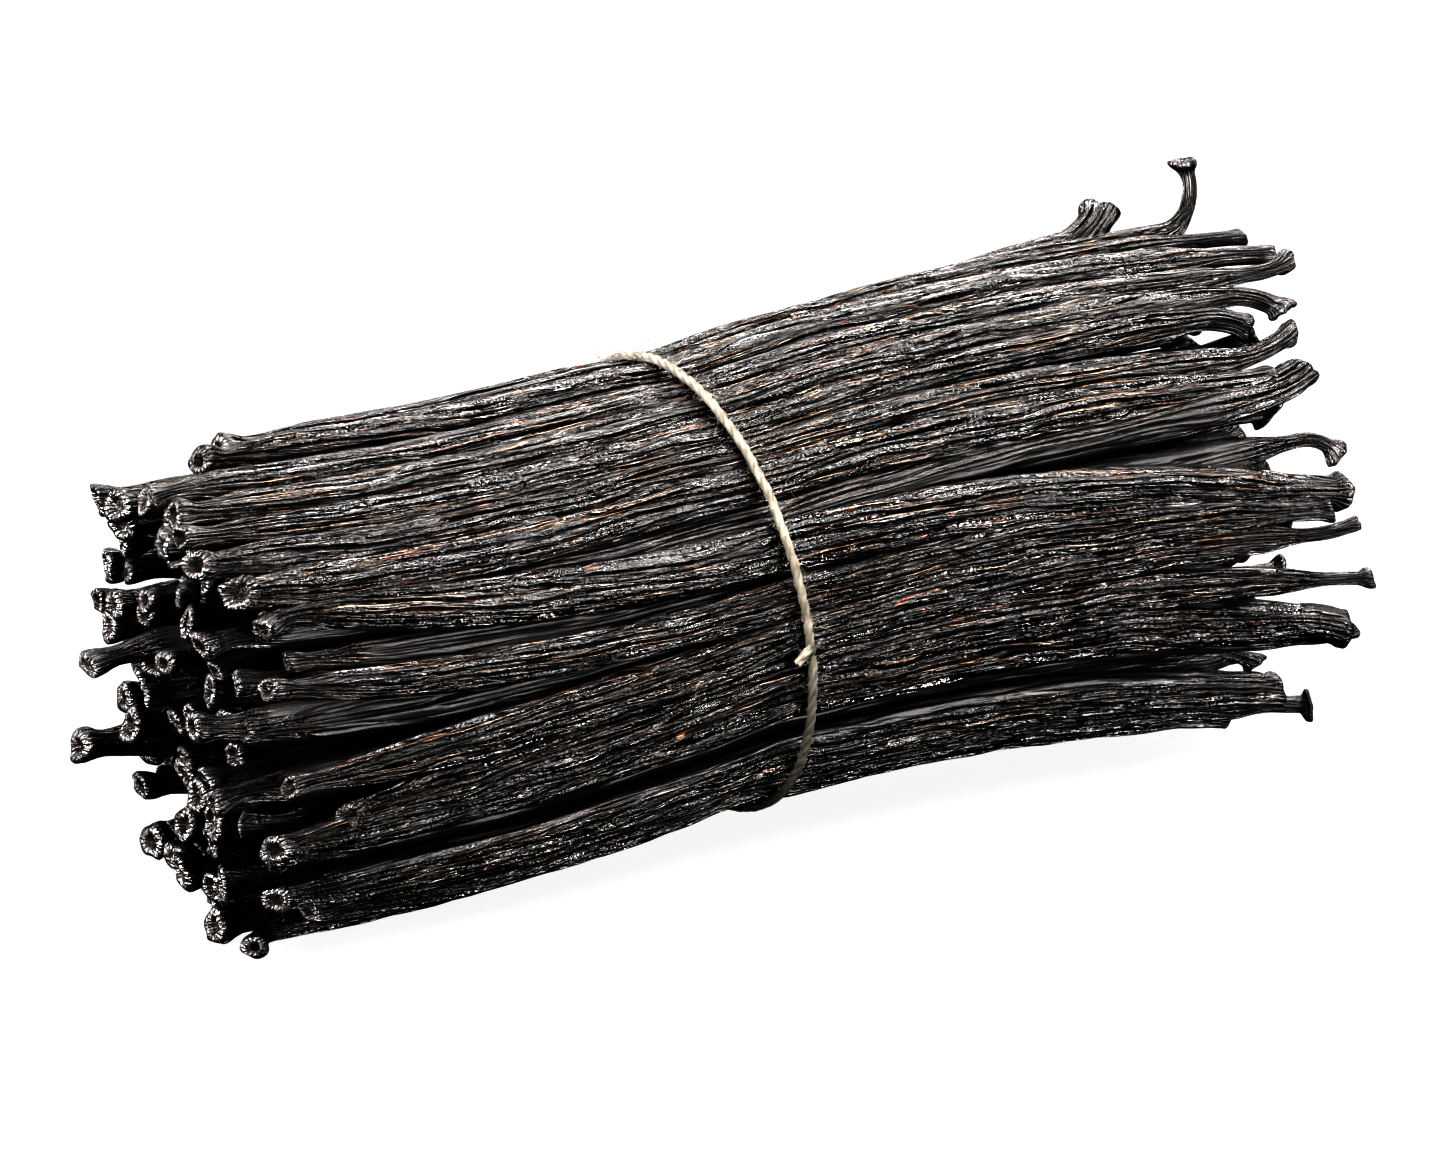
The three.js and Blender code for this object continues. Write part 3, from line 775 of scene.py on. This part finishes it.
def new_finish(name):
    """An empty material and the function that adds its nodes."""
    made = bpy.data.materials.new(name)
    made.use_nodes = True
    made.node_tree.nodes.clear()
    return made, partial(add_node, made.node_tree)


# ---- Dry lines, which are also painted highlights on the crease edges and rib crests: how far off the fold
# they lie and half their width, both over the folds' spacing, then the length and width of their patches in
# mm and the noise where those begin
DRY_AND_HIGHLIGHT_LINES = (
    (CREASE_REACH + 0.02, 0.013, 30.0, 3.0, 0.5),
    (FURROW_REACH + 0.02, 0.03, 22.0, 1.9, 0.56),
    (0.5, 0.1, 16.0, 1.6, 0.62),
)
DRY_EDGE = 0.06  # noise over which a patch of lines becomes full
LINES_AT_ENDS = 0.12
FLECK_CELL = (9, 2.4)  # mm long and wide: at most one fleck lies in each
FLECK_CHOICE = 0.62  # about a third of the cells have one
FLECK_EDGE = (0.07, 0.15)  # where a fleck begins to fade and is gone, in cells from its middle
FLECK_STRENGTH = 0.9


def skin_colour(node, grain, value, shaded_recess, *folds):
    """Black skin, tan lines on its folds (dry skin and painted highlight), reddish flecks, purple-brown
    scars.
    """
    colours = bpy.context.scene.vanilla_colours
    shade = {name: tuple(getattr(colours, name)) for name in type(colours).__annotations__}
    brown = patches(node, grain, *BROWN)
    skin = node(MIX, {0: brown, 6: shade["skin"], 7: shade["skin_brown"]}, out=2, data_type="RGBA")

    # Dry lines about 0.1 mm wide, in patches, partly painted highlight: on the edges of creases and furrows
    # and on the ribs' crests
    lines = 0.0
    for off, (at, half, length, width, low) in zip(folds, DRY_AND_HIGHLIGHT_LINES):
        line = node(MATH, (off, at, half), operation="COMPARE")
        patch = patches(node, grain, length, width, low, low + DRY_EDGE)
        dry_and_lit_line = node(TIMES, (line, patch))
        lines = node(MATH, (dry_and_lit_line, lines), operation="MAXIMUM")
    broken = patches(node, grain, *BROKEN)
    fewer = node(RANGE, (value["ends"], 0.0, 0.9, 1.0, LINES_AT_ENDS))
    # Painted shade: lines and flecks are left out where neighbours cover the skin
    unshaded = node(MINUS, (1.0, shaded_recess))
    for share in (broken, fewer, unshaded):
        lines = node(TIMES, (lines, share))
    redder = patches(node, grain, *REDDER)
    line_colour = node(MIX, {0: redder, 6: shade["dry_line"], 7: shade["red_line"]}, out=2, data_type="RGBA")

    # Flecks about 2 mm long and 0.5 mm wide
    cells = node(VECTOR_TIMES, (grain, per_mm(*FLECK_CELL)))
    fleck = node("ShaderNodeTexVoronoi", {"Vector": cells, "Scale": 1.0})
    chosen = node(MATH, (fleck.node.outputs["Color"], FLECK_CHOICE), operation="GREATER_THAN")
    fleck = node(RANGE, (fleck, *FLECK_EDGE, FLECK_STRENGTH, 0.0), interpolation_type="SMOOTHSTEP")
    fewer = node(RANGE, (value["ends"], 0.0, 0.8, 1.0, 0.0))
    for share in (chosen, fewer, unshaded):
        fleck = node(TIMES, (fleck, share))

    face = node(TIMES, (value["scar"], patches(node, grain, *MOTTLED)))
    edge = node(TIMES, (value["rim"], patches(node, grain, *BROKEN_RIM)))
    layers = ((lines, line_colour), (fleck, shade["fleck"]), (face, shade["scar"]), (edge, shade["rim"]))
    for share, over in layers:
        skin = node(MIX, {0: share, 6: skin, 7: over}, out=2, data_type="RGBA")
    return skin


# ---- The skin's fine relief, in mm, and how rough it is to light
# Depths over which the skin's tan lines and flecks fade out as painted shade, and its relief and gloss change
COVERED = (1.5, 3.2)  # mm under the bundle's skin where neighbours begin to cover it, and cover it
CLEAR_END = 0.2  # share of an end from which it stands clear of its neighbours
FURROW_SINK = -0.3
RIB_HEIGHT = 0.18
# How many per mm along and across, and their height: drawn coarser than real ones, so that they show
WRINKLES = ((0.3, 2.5, 2.5), 0.3)
GRIT = ((2.4, 3.8, 3.8), 0.28)
COVERED_RELIEF = 0.15
END_RELIEF = 0.5
OILY_ROUGHNESS = 0.15
WIPED_ROUGHNESS = 0.3
END_ROUGHNESS = 0.1
LOT_ROUGHNESS = 0.05
COVERED_ROUGHNESS = 0.55


def pod_skin():
    """Cured vanilla pod: oily near-black skin, shrunk lengthwise in sweating and drying.

    It gives the eye grey gloss broken by fine lengthwise wrinkles, thin tan lines on the ribs that are partly
    dry skin and partly painted highlight, and purple-brown scars with pale rims at the flower ends."""
    made = bpy.data.materials.get("cured_pod_skin")
    if made:
        return made
    made, node = new_finish("cured_pod_skin")
    grain = node(ATTRIBUTE, out="Vector", attribute_name="grain")
    names = ("lot", "ends", "scar", "rim", "depth")
    value = {name: node(ATTRIBUTE, out="Fac", attribute_name=name) for name in names}
    across, out = (node("ShaderNodeSeparateXYZ", (grain,), out=axis) for axis in (1, 2))
    turn = node(MATH, (out, across), operation="ARCTAN2")
    creases, furrows, ribs = (off_fold(node, turn, grain, *folds) for folds in (CREASES, FURROWS, RIBS))

    # Where its neighbours cover it, the skin is dull and its tan lines and flecks are left out, which is
    # painted shade in the recesses; the ends stand clear
    shaded_recess = node(RANGE, (value["depth"], *COVERED, 0.0, 1.0), interpolation_type="SMOOTHSTEP")
    hemmed_in = node(RANGE, (value["ends"], 0.0, CLEAR_END, 1.0, 0.0))
    shaded_recess = node(TIMES, (shaded_recess, hemmed_in))
    colour = skin_colour(node, grain, value, shaded_recess, creases, furrows, ribs)

    # Sharp furrows, ribs about 0.47 mm apart, wrinkles and grit
    height = node(TIMES, (folded(node, furrows, FURROW_REACH), FURROW_SINK))
    height = node(TIMES_PLUS, (ribs, RIB_HEIGHT, height))
    for pace, tall in (WRINKLES, GRIT):
        fine = node(VECTOR_TIMES, (grain, pace))
        fine = node(NOISE, {"Vector": fine, "Scale": 1.0, "Detail": 1.0})
        height = node(TIMES_PLUS, (fine, tall, height))
    for smoother, share in ((shaded_recess, COVERED_RELIEF), (value["ends"], END_RELIEF)):
        height = node(TIMES, (height, node(RANGE, (smoother, 0.0, 1.0, 1.0, share))))
    bump = node("ShaderNodeBump", {"Strength": 1.0, "Distance": MM, "Height": height})

    # Oil pools unevenly, and is wiped off where pods rub against each other
    rough = node(RANGE, (patches(node, grain, *WIPED), 0.0, 1.0, OILY_ROUGHNESS, WIPED_ROUGHNESS))
    rough = node(TIMES_PLUS, (value["ends"], END_ROUGHNESS, rough))
    rough = node(TIMES_PLUS, (value["lot"], LOT_ROUGHNESS, rough))
    rough = node(RANGE, (shaded_recess, 0.0, 1.0, rough, COVERED_ROUGHNESS))
    shader = node(
        "ShaderNodeBsdfPrincipled", {"Base Color": colour, "Roughness": rough, "IOR": 1.5, "Normal": bump}
    )
    node("ShaderNodeOutputMaterial", {"Surface": shader})
    return made


TWINE_SOCKETS = (
    ("Geometry", "Geometry"),
    ("Ply Count", "Int"),
    ("Ply Radius", "Float"),
    ("Lay Radius", "Float"),
    ("Lay Length", "Float"),
    ("Step", "Float"),
    ("Fibre Density", "Float"),
    ("Fibre Length", "Float"),
    ("Fibre Radius", "Float"),
    ("Lowest", "Float"),
    ("Seed", "Int"),
    ("Material", "Material"),
)
PLY_SIDES = 14
PLY_STRANDS = 7
STRAND_HEIGHT = 0.06  # over the ply's radius
PLY_WANDER = 0.4 * MM
PLY_WANDER_PACE = 260.0  # bends of a ply per metre
PLY_UNTWIST = -2.2  # turns of a ply about itself for each turn about the twine
HAIR_POINTS = 11
HAIR_LEAN = ((-0.3, -0.8, -0.8), (2.0, 0.8, 0.8))  # least and most that is added to the normal
SHORTEST_HAIR = 0.2  # over the longest
SHORT_RARITY = 1.6  # power that makes most hairs short
HAIR_CURLS = ((420.0, 3.5 * MM), (1300.0, 1.6 * MM))  # bends per metre, and how far they swing
HALF = (0.5, 0.5, 0.5)  # the middle of a noise's colour
SLUB_PACE = 400.0  # per metre, so slubs are 2.5 mm long
SLUBS = (0.35, 0.65)  # the noise where a slub is darkest, and where it ends
FUZZ_PACE = 6000.0  # per metre, so fibres are about 0.17 mm thick
FUZZ_HEIGHT = 0.05 * MM
FIBRE_RADIUS = 0.027 * MM
FIBRE_SEED = 5
HAIR_SEED = 7
BARE_BELOW = 28 * MM  # height under which no fibres stand off
TWINE_STEP = 0.45 * MM
LOOP_POINTS = 240
TAIL_POINTS = 8
TAIL_RISE = 0.25  # mm that the cut end stands off the loop's middle line


def twisted_plies(node, given):
    """The plies, wound round the twine's middle line."""
    path = node("GeometryNodeMeshToCurve", {"Mesh": given["Geometry"]})
    path = node("GeometryNodeResampleCurve", {"Curve": path, "Length": given["Step"]}, mode="LENGTH")
    copies = node(
        "GeometryNodeDuplicateElements", {"Geometry": path, "Amount": given["Ply Count"]}, domain="SPLINE"
    )
    which = copies.node.outputs["Duplicate Index"]
    length = node("GeometryNodeSplineParameter", out="Length")
    phase = node(OVER, (which, given["Ply Count"]))
    turns = node(PLUS, (node(OVER, (length, given["Lay Length"])), phase))
    turn = node(TIMES, (turns, 2 * math.pi))
    normal, tangent = node("GeometryNodeInputNormal"), node("GeometryNodeInputTangent")
    side = node(VECTOR_MATH, (tangent, normal), operation="CROSS_PRODUCT")
    off = node(VECTOR_SCALE, {0: normal, "Scale": node(COSINE, (turn,))})
    off = node(VECTOR_TIMES_PLUS, (side, node(SINE, (turn,)), off))
    wander = node(NOISE, {"Scale": PLY_WANDER_PACE, "Detail": 1.0}, out="Color")
    wander = node(VECTOR_MINUS, (wander, HALF))
    wander = node(VECTOR_SCALE, {0: wander, "Scale": PLY_WANDER})
    off = node(VECTOR_TIMES_PLUS, (off, given["Lay Radius"], wander))
    plies = node("GeometryNodeSetPosition", {"Geometry": copies, "Offset": off})
    tilt = node(TIMES, (turn, PLY_UNTWIST))
    plies = node("GeometryNodeSetCurveTilt", {"Curve": plies, "Tilt": tilt})

    # A ply's section is a ring of strands
    ring = node("GeometryNodeCurvePrimitiveCircle", {"Resolution": PLY_SIDES, "Radius": given["Ply Radius"]})
    share = node("GeometryNodeSplineParameter", out="Factor")
    wave = node(COSINE, (node(TIMES, (share, 2 * math.pi * PLY_STRANDS)),))
    strand = node(TIMES_PLUS, (wave, STRAND_HEIGHT, 1.0))
    place = node("GeometryNodeInputPosition")
    place = node(VECTOR_SCALE, {0: place, "Scale": strand})
    ring = node("GeometryNodeSetPosition", {"Geometry": ring, "Position": place})
    return node("GeometryNodeCurveToMesh", {"Curve": plies, "Profile Curve": ring, "Fill Caps": True})


def loose_fibres(node, given, cord):
    """Fine curly fibres that root on the plies and stand off, mostly towards the stem ends."""
    spots = node(
        "GeometryNodeDistributePointsOnFaces",
        {"Mesh": cord, "Density": given["Fibre Density"], "Seed": given["Seed"]},
    )
    normal = spots.node.outputs["Normal"]
    low = node("ShaderNodeSeparateXYZ", (node("GeometryNodeInputPosition"),), out=2)
    keep = node("FunctionNodeCompare", (low, given["Lowest"]), data_type="FLOAT", operation="LESS_THAN")
    points = node("GeometryNodeDeleteGeometry", {"Geometry": spots, "Selection": keep}, domain="POINT")
    least, most = HAIR_LEAN
    lean = node(
        "FunctionNodeRandomValue", {0: least, 1: most, "Seed": given["Seed"]}, data_type="FLOAT_VECTOR"
    )
    aim = node(VECTOR_MATH, (normal, lean), operation="ADD")
    aim = node("FunctionNodeAlignRotationToVector", {"Vector": aim})
    long = node(
        "FunctionNodeRandomValue", {2: SHORTEST_HAIR, 3: 1.0, "Seed": HAIR_SEED}, out=1, data_type="FLOAT"
    )
    long = node(MATH, (long, SHORT_RARITY), operation="POWER")
    reach = node(TIMES, (long, given["Fibre Length"]))
    hair = node("GeometryNodeCurvePrimitiveLine", {"End": (0.0, 0.0, 1.0)})
    hairs = node(
        "GeometryNodeInstanceOnPoints", {"Points": points, "Instance": hair, "Rotation": aim, "Scale": reach}
    )
    hairs = node("GeometryNodeRealizeInstances", {"Geometry": hairs})
    hairs = node("GeometryNodeResampleCurve", {"Curve": hairs, "Count": HAIR_POINTS}, mode="COUNT")
    loose = node("GeometryNodeSplineParameter", out="Factor")
    for scale, swing in HAIR_CURLS:
        bend = node(NOISE, {"Scale": scale, "Detail": 0.0}, out="Color")
        bend = node(VECTOR_MINUS, (bend, HALF))
        swing = node(TIMES, (loose, swing))
        drift = node(VECTOR_SCALE, {0: bend, "Scale": swing})
        hairs = node("GeometryNodeSetPosition", {"Geometry": hairs, "Offset": drift})
    thin = node("GeometryNodeCurvePrimitiveCircle", {"Resolution": 3, "Radius": given["Fibre Radius"]})
    return node("GeometryNodeCurveToMesh", {"Curve": hairs, "Profile Curve": thin, "Fill Caps": True})


def twine_tree():
    """Twists plies along a line and lets fibres stand off them."""
    tree, given = new_tree("plied twine", TWINE_SOCKETS)
    node = partial(add_node, tree)
    cord = twisted_plies(node, given)
    hairs = loose_fibres(node, given, cord)
    join = tree.nodes.new("GeometryNodeJoinGeometry")
    for part in (hairs, cord):
        tree.links.new(part, join.inputs[0])
    whole = node("GeometryNodeSetShadeSmooth", {"Geometry": join.outputs[0]})
    whole = node("GeometryNodeRealizeInstances", {"Geometry": whole})
    whole = node("GeometryNodeSetMaterial", {"Geometry": whole, "Material": given["Material"]})
    node("NodeGroupOutput", {"Geometry": whole})
    return tree


def twine_fibre():
    """Undyed plied twine: pale beige and matt, a little darker in its slubs, with fuzzy strands."""
    made, node = new_finish("undyed_plied_twine")
    colours = bpy.context.scene.vanilla_colours
    place = node("ShaderNodeTexCoord", out="Object")
    slub = node(NOISE, {"Vector": place, "Scale": SLUB_PACE, "Detail": 2.0})
    fibre = node(NOISE, {"Vector": place, "Scale": FUZZ_PACE, "Detail": 2.0})
    shade = node(RANGE, (slub, *SLUBS, 0.0, 1.0))
    dark, light = tuple(colours.twine_shade), tuple(colours.twine)
    colour = node(MIX, {0: shade, 6: dark, 7: light}, out=2, data_type="RGBA")
    bump = node("ShaderNodeBump", {"Strength": 0.6, "Distance": FUZZ_HEIGHT, "Height": fibre})
    shader = node(
        "ShaderNodeBsdfPrincipled",
        {"Base Color": colour, "Roughness": 0.9, "Sheen Weight": 0.2, "Sheen Roughness": 0.5, "Normal": bump},
    )
    node("ShaderNodeOutputMaterial", {"Surface": shader})
    return made


def on_loop(clock):
    """Points of the twine's middle line, at clocks in radians, in mm from the bundle's axis."""
    y, z = -TWINE_LOOP * np.cos(clock), TWINE_LOOP * np.sin(clock)
    x = TIED_AT + TWINE_LEAN_Y * y + TWINE_LEAN_Z * z
    return np.stack([x, y, z + sway(x)], -1)


def twine_lines():
    """The loop's middle line and the short cut end's, in metres in the row frame."""
    loop = on_loop(np.linspace(0, 2 * np.pi, LOOP_POINTS, endpoint=False))
    root = on_loop(math.radians(TAIL_CLOCK)) - (0, TAIL_RISE, 0)
    turn = math.radians(TAIL_TURN)
    aim = np.array([-math.cos(turn), 0.0, -math.sin(turn)])
    tail = root + np.outer(np.linspace(0, TAIL_LENGTH, TAIL_POINTS), aim)
    chains = [(i, (i + 1) % LOOP_POINTS) for i in range(LOOP_POINTS)]
    chains += [(LOOP_POINTS + i, LOOP_POINTS + i + 1) for i in range(TAIL_POINTS - 1)]
    return np.concatenate([loop, tail]) * MM + AXIS, chains


def size(name, description, metres):
    """A length that a user can change."""
    return bpy.props.FloatProperty(name=name, description=description, default=metres, min=0, unit="LENGTH")


def colour(name, description, code):
    """A colour that a user can change."""
    return bpy.props.FloatVectorProperty(
        name=name, description=description, subtype="COLOR", size=4, min=0, max=1, default=linear(code)
    )


class VanillaPodSizes(bpy.types.PropertyGroup):
    """Relief of the pods' skin."""

    crease_depth: size("Crease depth", "Depth of the long creases", 1.1 * MM)
    furrow_depth: size("Furrow depth", "Depth of the furrows between the creases", 0.5 * MM)
    swell: size("Swell", "Height of the slow bulges along a pod", 1.1 * MM)
    scar_relief: size("Scar relief", "Unevenness of a flower scar's face", 1.3 * MM)


class VanillaTwineSizes(bpy.types.PropertyGroup):
    """Make-up of the twine."""

    plies: bpy.props.IntProperty(name="Plies", description="Plies twisted together", default=3, min=1)
    ply_radius: size("Ply radius", "Radius of one ply", 0.42 * MM)
    lay_radius: size("Lay radius", "From the twine's middle to a ply's", 0.27 * MM)
    lay_length: size("Lay length", "Length of one full twist", 6.5 * MM)
    fibre_length: size("Fibre length", "Longest loose fibre", 3.4 * MM)
    fibre_density: bpy.props.FloatProperty(
        name="Fibre density", description="Loose fibres per square metre of ply", default=650000.0, min=0
    )


class VanillaColours(bpy.types.PropertyGroup):
    """Colours of pods and twine."""

    skin: colour("Skin", "Oily skin of a pod", "#0c0909")
    skin_brown: colour("Brown skin", "Skin where it is drier", "#180f0b")
    # The dry lines' colour also serves as painted highlight on the crease edges and rib crests
    dry_line: colour("Dry lines", "Thin tan lines along the folds", "#caa684")
    red_line: colour("Red lines", "Their redder parts", "#9a6044")
    fleck: colour("Flecks", "Small oval specks", "#8c5848")
    scar: colour("Flower scar", "Face of a flower scar", "#4e3a38")
    rim: colour("Scar rim", "Dry edge round a flower scar", "#b69c90")
    twine: colour("Twine", "Light side of the twine", "#d2ccc0")
    twine_shade: colour("Twine shade", "Darker slubs", "#aca699")


# ---- How finely pods are made: mm between rings near the tips and elsewhere, sides, how far these crowd on
# the outer face, and depth of furrows over a front pod's
FRONT_MAKE = ((0.85, 1.35), 74, 0.5, 1.0)
FAR_MAKE = ((1.2, 3.0), 42, 0.4, 0.7)
INNER_MAKE = ((1.4, 20.0), 32, 0.0, 0.7)
FRONT_PIECES = ("pods_upper", "pods_front", "pods_lower")


class VANILLA_OT_outer_pods(bpy.types.Operator):
    """Lay the whole pods that form the skin of the bundle"""

    bl_idname = "vanilla.outer_pods"
    bl_label = "Outer pods"

    def execute(self, context):
        share = len(FRONT) // len(FRONT_PIECES)
        for i, name in enumerate(FRONT_PIECES):
            pods_piece(name, FRONT[share * i : share * (i + 1)], share * i, *FRONT_MAKE)
        pods_piece("pods_far", FAR, len(FRONT), *FAR_MAKE)
        return {"FINISHED"}


class VANILLA_OT_inner_pods(bpy.types.Operator):
    """Pack the whole pods inside the bundle, of which the ends show"""

    bl_idname = "vanilla.inner_pods"
    bl_label = "Inner pods"

    def execute(self, context):
        first, second = len(FRONT) + len(FAR), INNER_RINGS[0]
        pods_piece("pods_second_ring", INNER[:second], first, *INNER_MAKE)
        pods_piece("pods_middle", INNER[second:], first + second, *INNER_MAKE)
        return {"FINISHED"}


class VANILLA_OT_twine(bpy.types.Operator):
    """Tie the bundle at the waist with plied twine"""

    bl_idname = "vanilla.twine"
    bl_label = "Twine"

    def execute(self, context):
        sizes = context.scene.vanilla_twine_sizes
        points, chains = twine_lines()
        round_length = 2 * math.pi * TWINE_LOOP * MM
        piece = grown(
            "twine_loop",
            line_mesh("twine_lines", points, chains, {}),
            twine_tree(),
            {
                "Ply Count": sizes.plies,
                "Ply Radius": sizes.ply_radius,
                "Lay Radius": sizes.lay_radius,
                "Lay Length": round_length / round(round_length / sizes.lay_length),
                "Step": TWINE_STEP,
                "Fibre Density": sizes.fibre_density,
                "Fibre Length": sizes.fibre_length,
                "Fibre Radius": FIBRE_RADIUS,
                "Lowest": BARE_BELOW,
                "Seed": FIBRE_SEED,
                "Material": twine_fibre(),
            },
        )
        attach(piece, "root")
        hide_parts("twine")
        return {"FINISHED"}


# ---- The camera, seen from the bundle's axis at the waist
AZIMUTH, ELEVATION = math.radians(-30.5), math.radians(20)
DISTANCE = 880 * MM
TARGET = (8.91, 0.0, -0.22)  # mm from the bundle's axis at the waist
SENSOR = 36  # mm wide
LENS = 6328 * SENSOR / 1445  # mm, from 6328 pixels in a render 1445 pixels wide
CLIP = (0.01, 20)  # metres

# ---- Softboxes with their long sides along the pods: name, clock round the bundle, lean towards the stem
# ends, size in metres, watts
LIGHT_DISTANCE = 0.8
LIGHT_COLOUR = (1.0, 0.98, 0.97)
LIGHTS = (
    ("low_strip", 9, 0.48, (0.7, 0.11), 34.0),
    ("front_strip", 45, 0.48, (0.7, 0.05), 13.0),
    ("top_strip", 76, 0.48, (0.7, 0.05), 16.0),
    ("crown_strip", 108, 0.48, (0.7, 0.07), 17.0),
    ("back_strip", 150, 0.4, (0.8, 0.15), 8.7),
    ("left_top", 86, -0.45, (0.3, 0.2), 36.0),
    ("left_side", 50, -0.93, (0.25, 0.25), 66.0),
    ("left_back", 160, -0.9, (0.35, 0.25), 56.0),
)
SOFT_KEY = ("soft_key", 55, -0.1, (0.6, 0.4), 10.5)
FLOOR_HALF = 4.0
FLOOR_LEVEL = -0.1 * MM
FLOOR_GREY = "#505050"
FLOOR_GLOW = 0.955
ROOM_GLOW = 0.012  # how bright the room is to the skin
ROOM_WHITE = 1.05  # and to the eye
CONTRAST = 0.38  # gamma of the finished picture


class VANILLA_OT_stage(bpy.types.Operator):
    """Set the floor, the lights and the camera"""

    bl_idname = "vanilla.stage"
    bl_label = "Stage"

    def execute(self, context):
        scene = context.scene
        level = math.cos(ELEVATION)
        back = Vector((math.sin(AZIMUTH) * level, -math.cos(AZIMUTH) * level, math.sin(ELEVATION)))
        target = Vector(AXIS) + Vector(TARGET) * MM
        lens = bpy.data.cameras.new("camera")
        lens.lens, lens.sensor_width, lens.sensor_fit = LENS, SENSOR, "HORIZONTAL"
        lens.clip_start, lens.clip_end = CLIP
        camera = bpy.data.objects.new("camera", lens)
        camera.location = target + back * DISTANCE
        camera.rotation_mode = "QUATERNION"
        camera.rotation_quaternion = (-back).to_track_quat("-Z", "Y")
        scene.collection.objects.link(camera)
        scene.camera = camera
        self.lay_floor(scene)

        # The strips are only mirrored, and the soft key lights what is matt
        for name, clock, lean, sides, power in (*LIGHTS, SOFT_KEY):
            turn, flat = math.radians(clock), math.sqrt(1 - lean * lean)
            away = Vector((lean, -flat * math.cos(turn), flat * math.sin(turn)))
            light = self.hang_light(scene, target, name, away, sides, power)
            light.visible_diffuse = name == SOFT_KEY[0]
            light.visible_glossy = name != SOFT_KEY[0]
        self.white_room(scene)
        scene.view_settings.view_transform = "Standard"
        scene.view_settings.gamma = CONTRAST
        return {"FINISHED"}

    def lay_floor(self, scene):
        """A square floor, a hair under the lowest pods."""
        mesh = bpy.data.meshes.new("floor")
        corners = ((-1, -1), (1, -1), (1, 1), (-1, 1))
        places = [(x * FLOOR_HALF, y * FLOOR_HALF, FLOOR_LEVEL) for x, y in corners]
        mesh.from_pydata(places, [], [(0, 1, 2, 3)])
        floor = bpy.data.objects.new("floor", mesh)
        scene.collection.objects.link(floor)
        floor.data.materials.append(self.light_table())

    def light_table(self):
        """Opal sheet lit from below: plain and white, so that its shadow stays faint, and dim to the skin."""
        made, node = new_finish("opal_light_table")
        sight = node("ShaderNodeLightPath", out="Is Camera Ray")
        glow = node(TIMES, (sight, FLOOR_GLOW))
        shader = node(
            "ShaderNodeBsdfPrincipled",
            {
                "Base Color": linear(FLOOR_GREY),
                "Roughness": 0.9,
                "Specular IOR Level": 0.1,
                "Emission Color": linear("#ffffff"),
                "Emission Strength": glow,
            },
        )
        node("ShaderNodeOutputMaterial", {"Surface": shader})
        return made

    def hang_light(self, scene, target, name, away, sides, power):
        """A softbox that faces the bundle, with its long side along the pods."""
        data = bpy.data.lights.new(name, "AREA")
        data.shape, data.size, data.size_y, data.energy = "RECTANGLE", *sides, power
        data.color = LIGHT_COLOUR
        light = bpy.data.objects.new(name, data)
        along = (Vector((1, 0, 0)) - away * away.x).normalized()
        light.location = target + away * LIGHT_DISTANCE
        light.rotation_mode = "QUATERNION"
        light.rotation_quaternion = Matrix((along, away.cross(along), away)).transposed().to_quaternion()
        scene.collection.objects.link(light)
        return light

    def white_room(self, scene):
        """White to the eye, and dim to the skin, which would otherwise mirror it."""
        world = bpy.data.worlds.new("studio")
        world.use_nodes = True
        world.node_tree.nodes.clear()
        node = partial(add_node, world.node_tree)
        sight = node("ShaderNodeLightPath", out="Is Camera Ray")
        strength = node(RANGE, {0: sight, 3: ROOM_GLOW, 4: ROOM_WHITE})
        sky = node("ShaderNodeBackground", {"Color": (1, 1, 1, 1), "Strength": strength})
        node("ShaderNodeOutputWorld", {"Surface": sky})
        scene.world = world


class VANILLA_PT_bundle(bpy.types.Panel):
    """Sizes, colours and steps of the bundle"""

    bl_idname = "VANILLA_PT_bundle"
    bl_label = "Vanilla bundle"
    bl_space_type = "VIEW_3D"
    bl_region_type = "UI"
    bl_category = "Bundle"

    def draw(self, context):
        for name in GROUPS:
            group = getattr(context.scene, name)
            box = self.layout.box()
            for field in type(group).__annotations__:
                box.prop(group, field)
        for step in STEPS:
            self.layout.operator(step.bl_idname)


STEPS = (VANILLA_OT_outer_pods, VANILLA_OT_inner_pods, VANILLA_OT_twine, VANILLA_OT_stage)
GROUPS = {
    "vanilla_pod_sizes": VanillaPodSizes,
    "vanilla_twine_sizes": VanillaTwineSizes,
    "vanilla_colours": VanillaColours,
}


def register():
    for group in (*GROUPS.values(), *STEPS, VANILLA_PT_bundle):
        bpy.utils.register_class(group)
    for name, group in GROUPS.items():
        setattr(bpy.types.Scene, name, bpy.props.PointerProperty(type=group))


def unregister():
    for name in GROUPS:
        delattr(bpy.types.Scene, name)
    for group in reversed((*GROUPS.values(), *STEPS, VANILLA_PT_bundle)):
        bpy.utils.unregister_class(group)


def main():
    register()
    bpy.ops.vanilla.outer_pods()
    bpy.ops.vanilla.inner_pods()
    bpy.ops.vanilla.twine()
    bpy.ops.vanilla.stage()


if __name__ == "__main__":
    main()
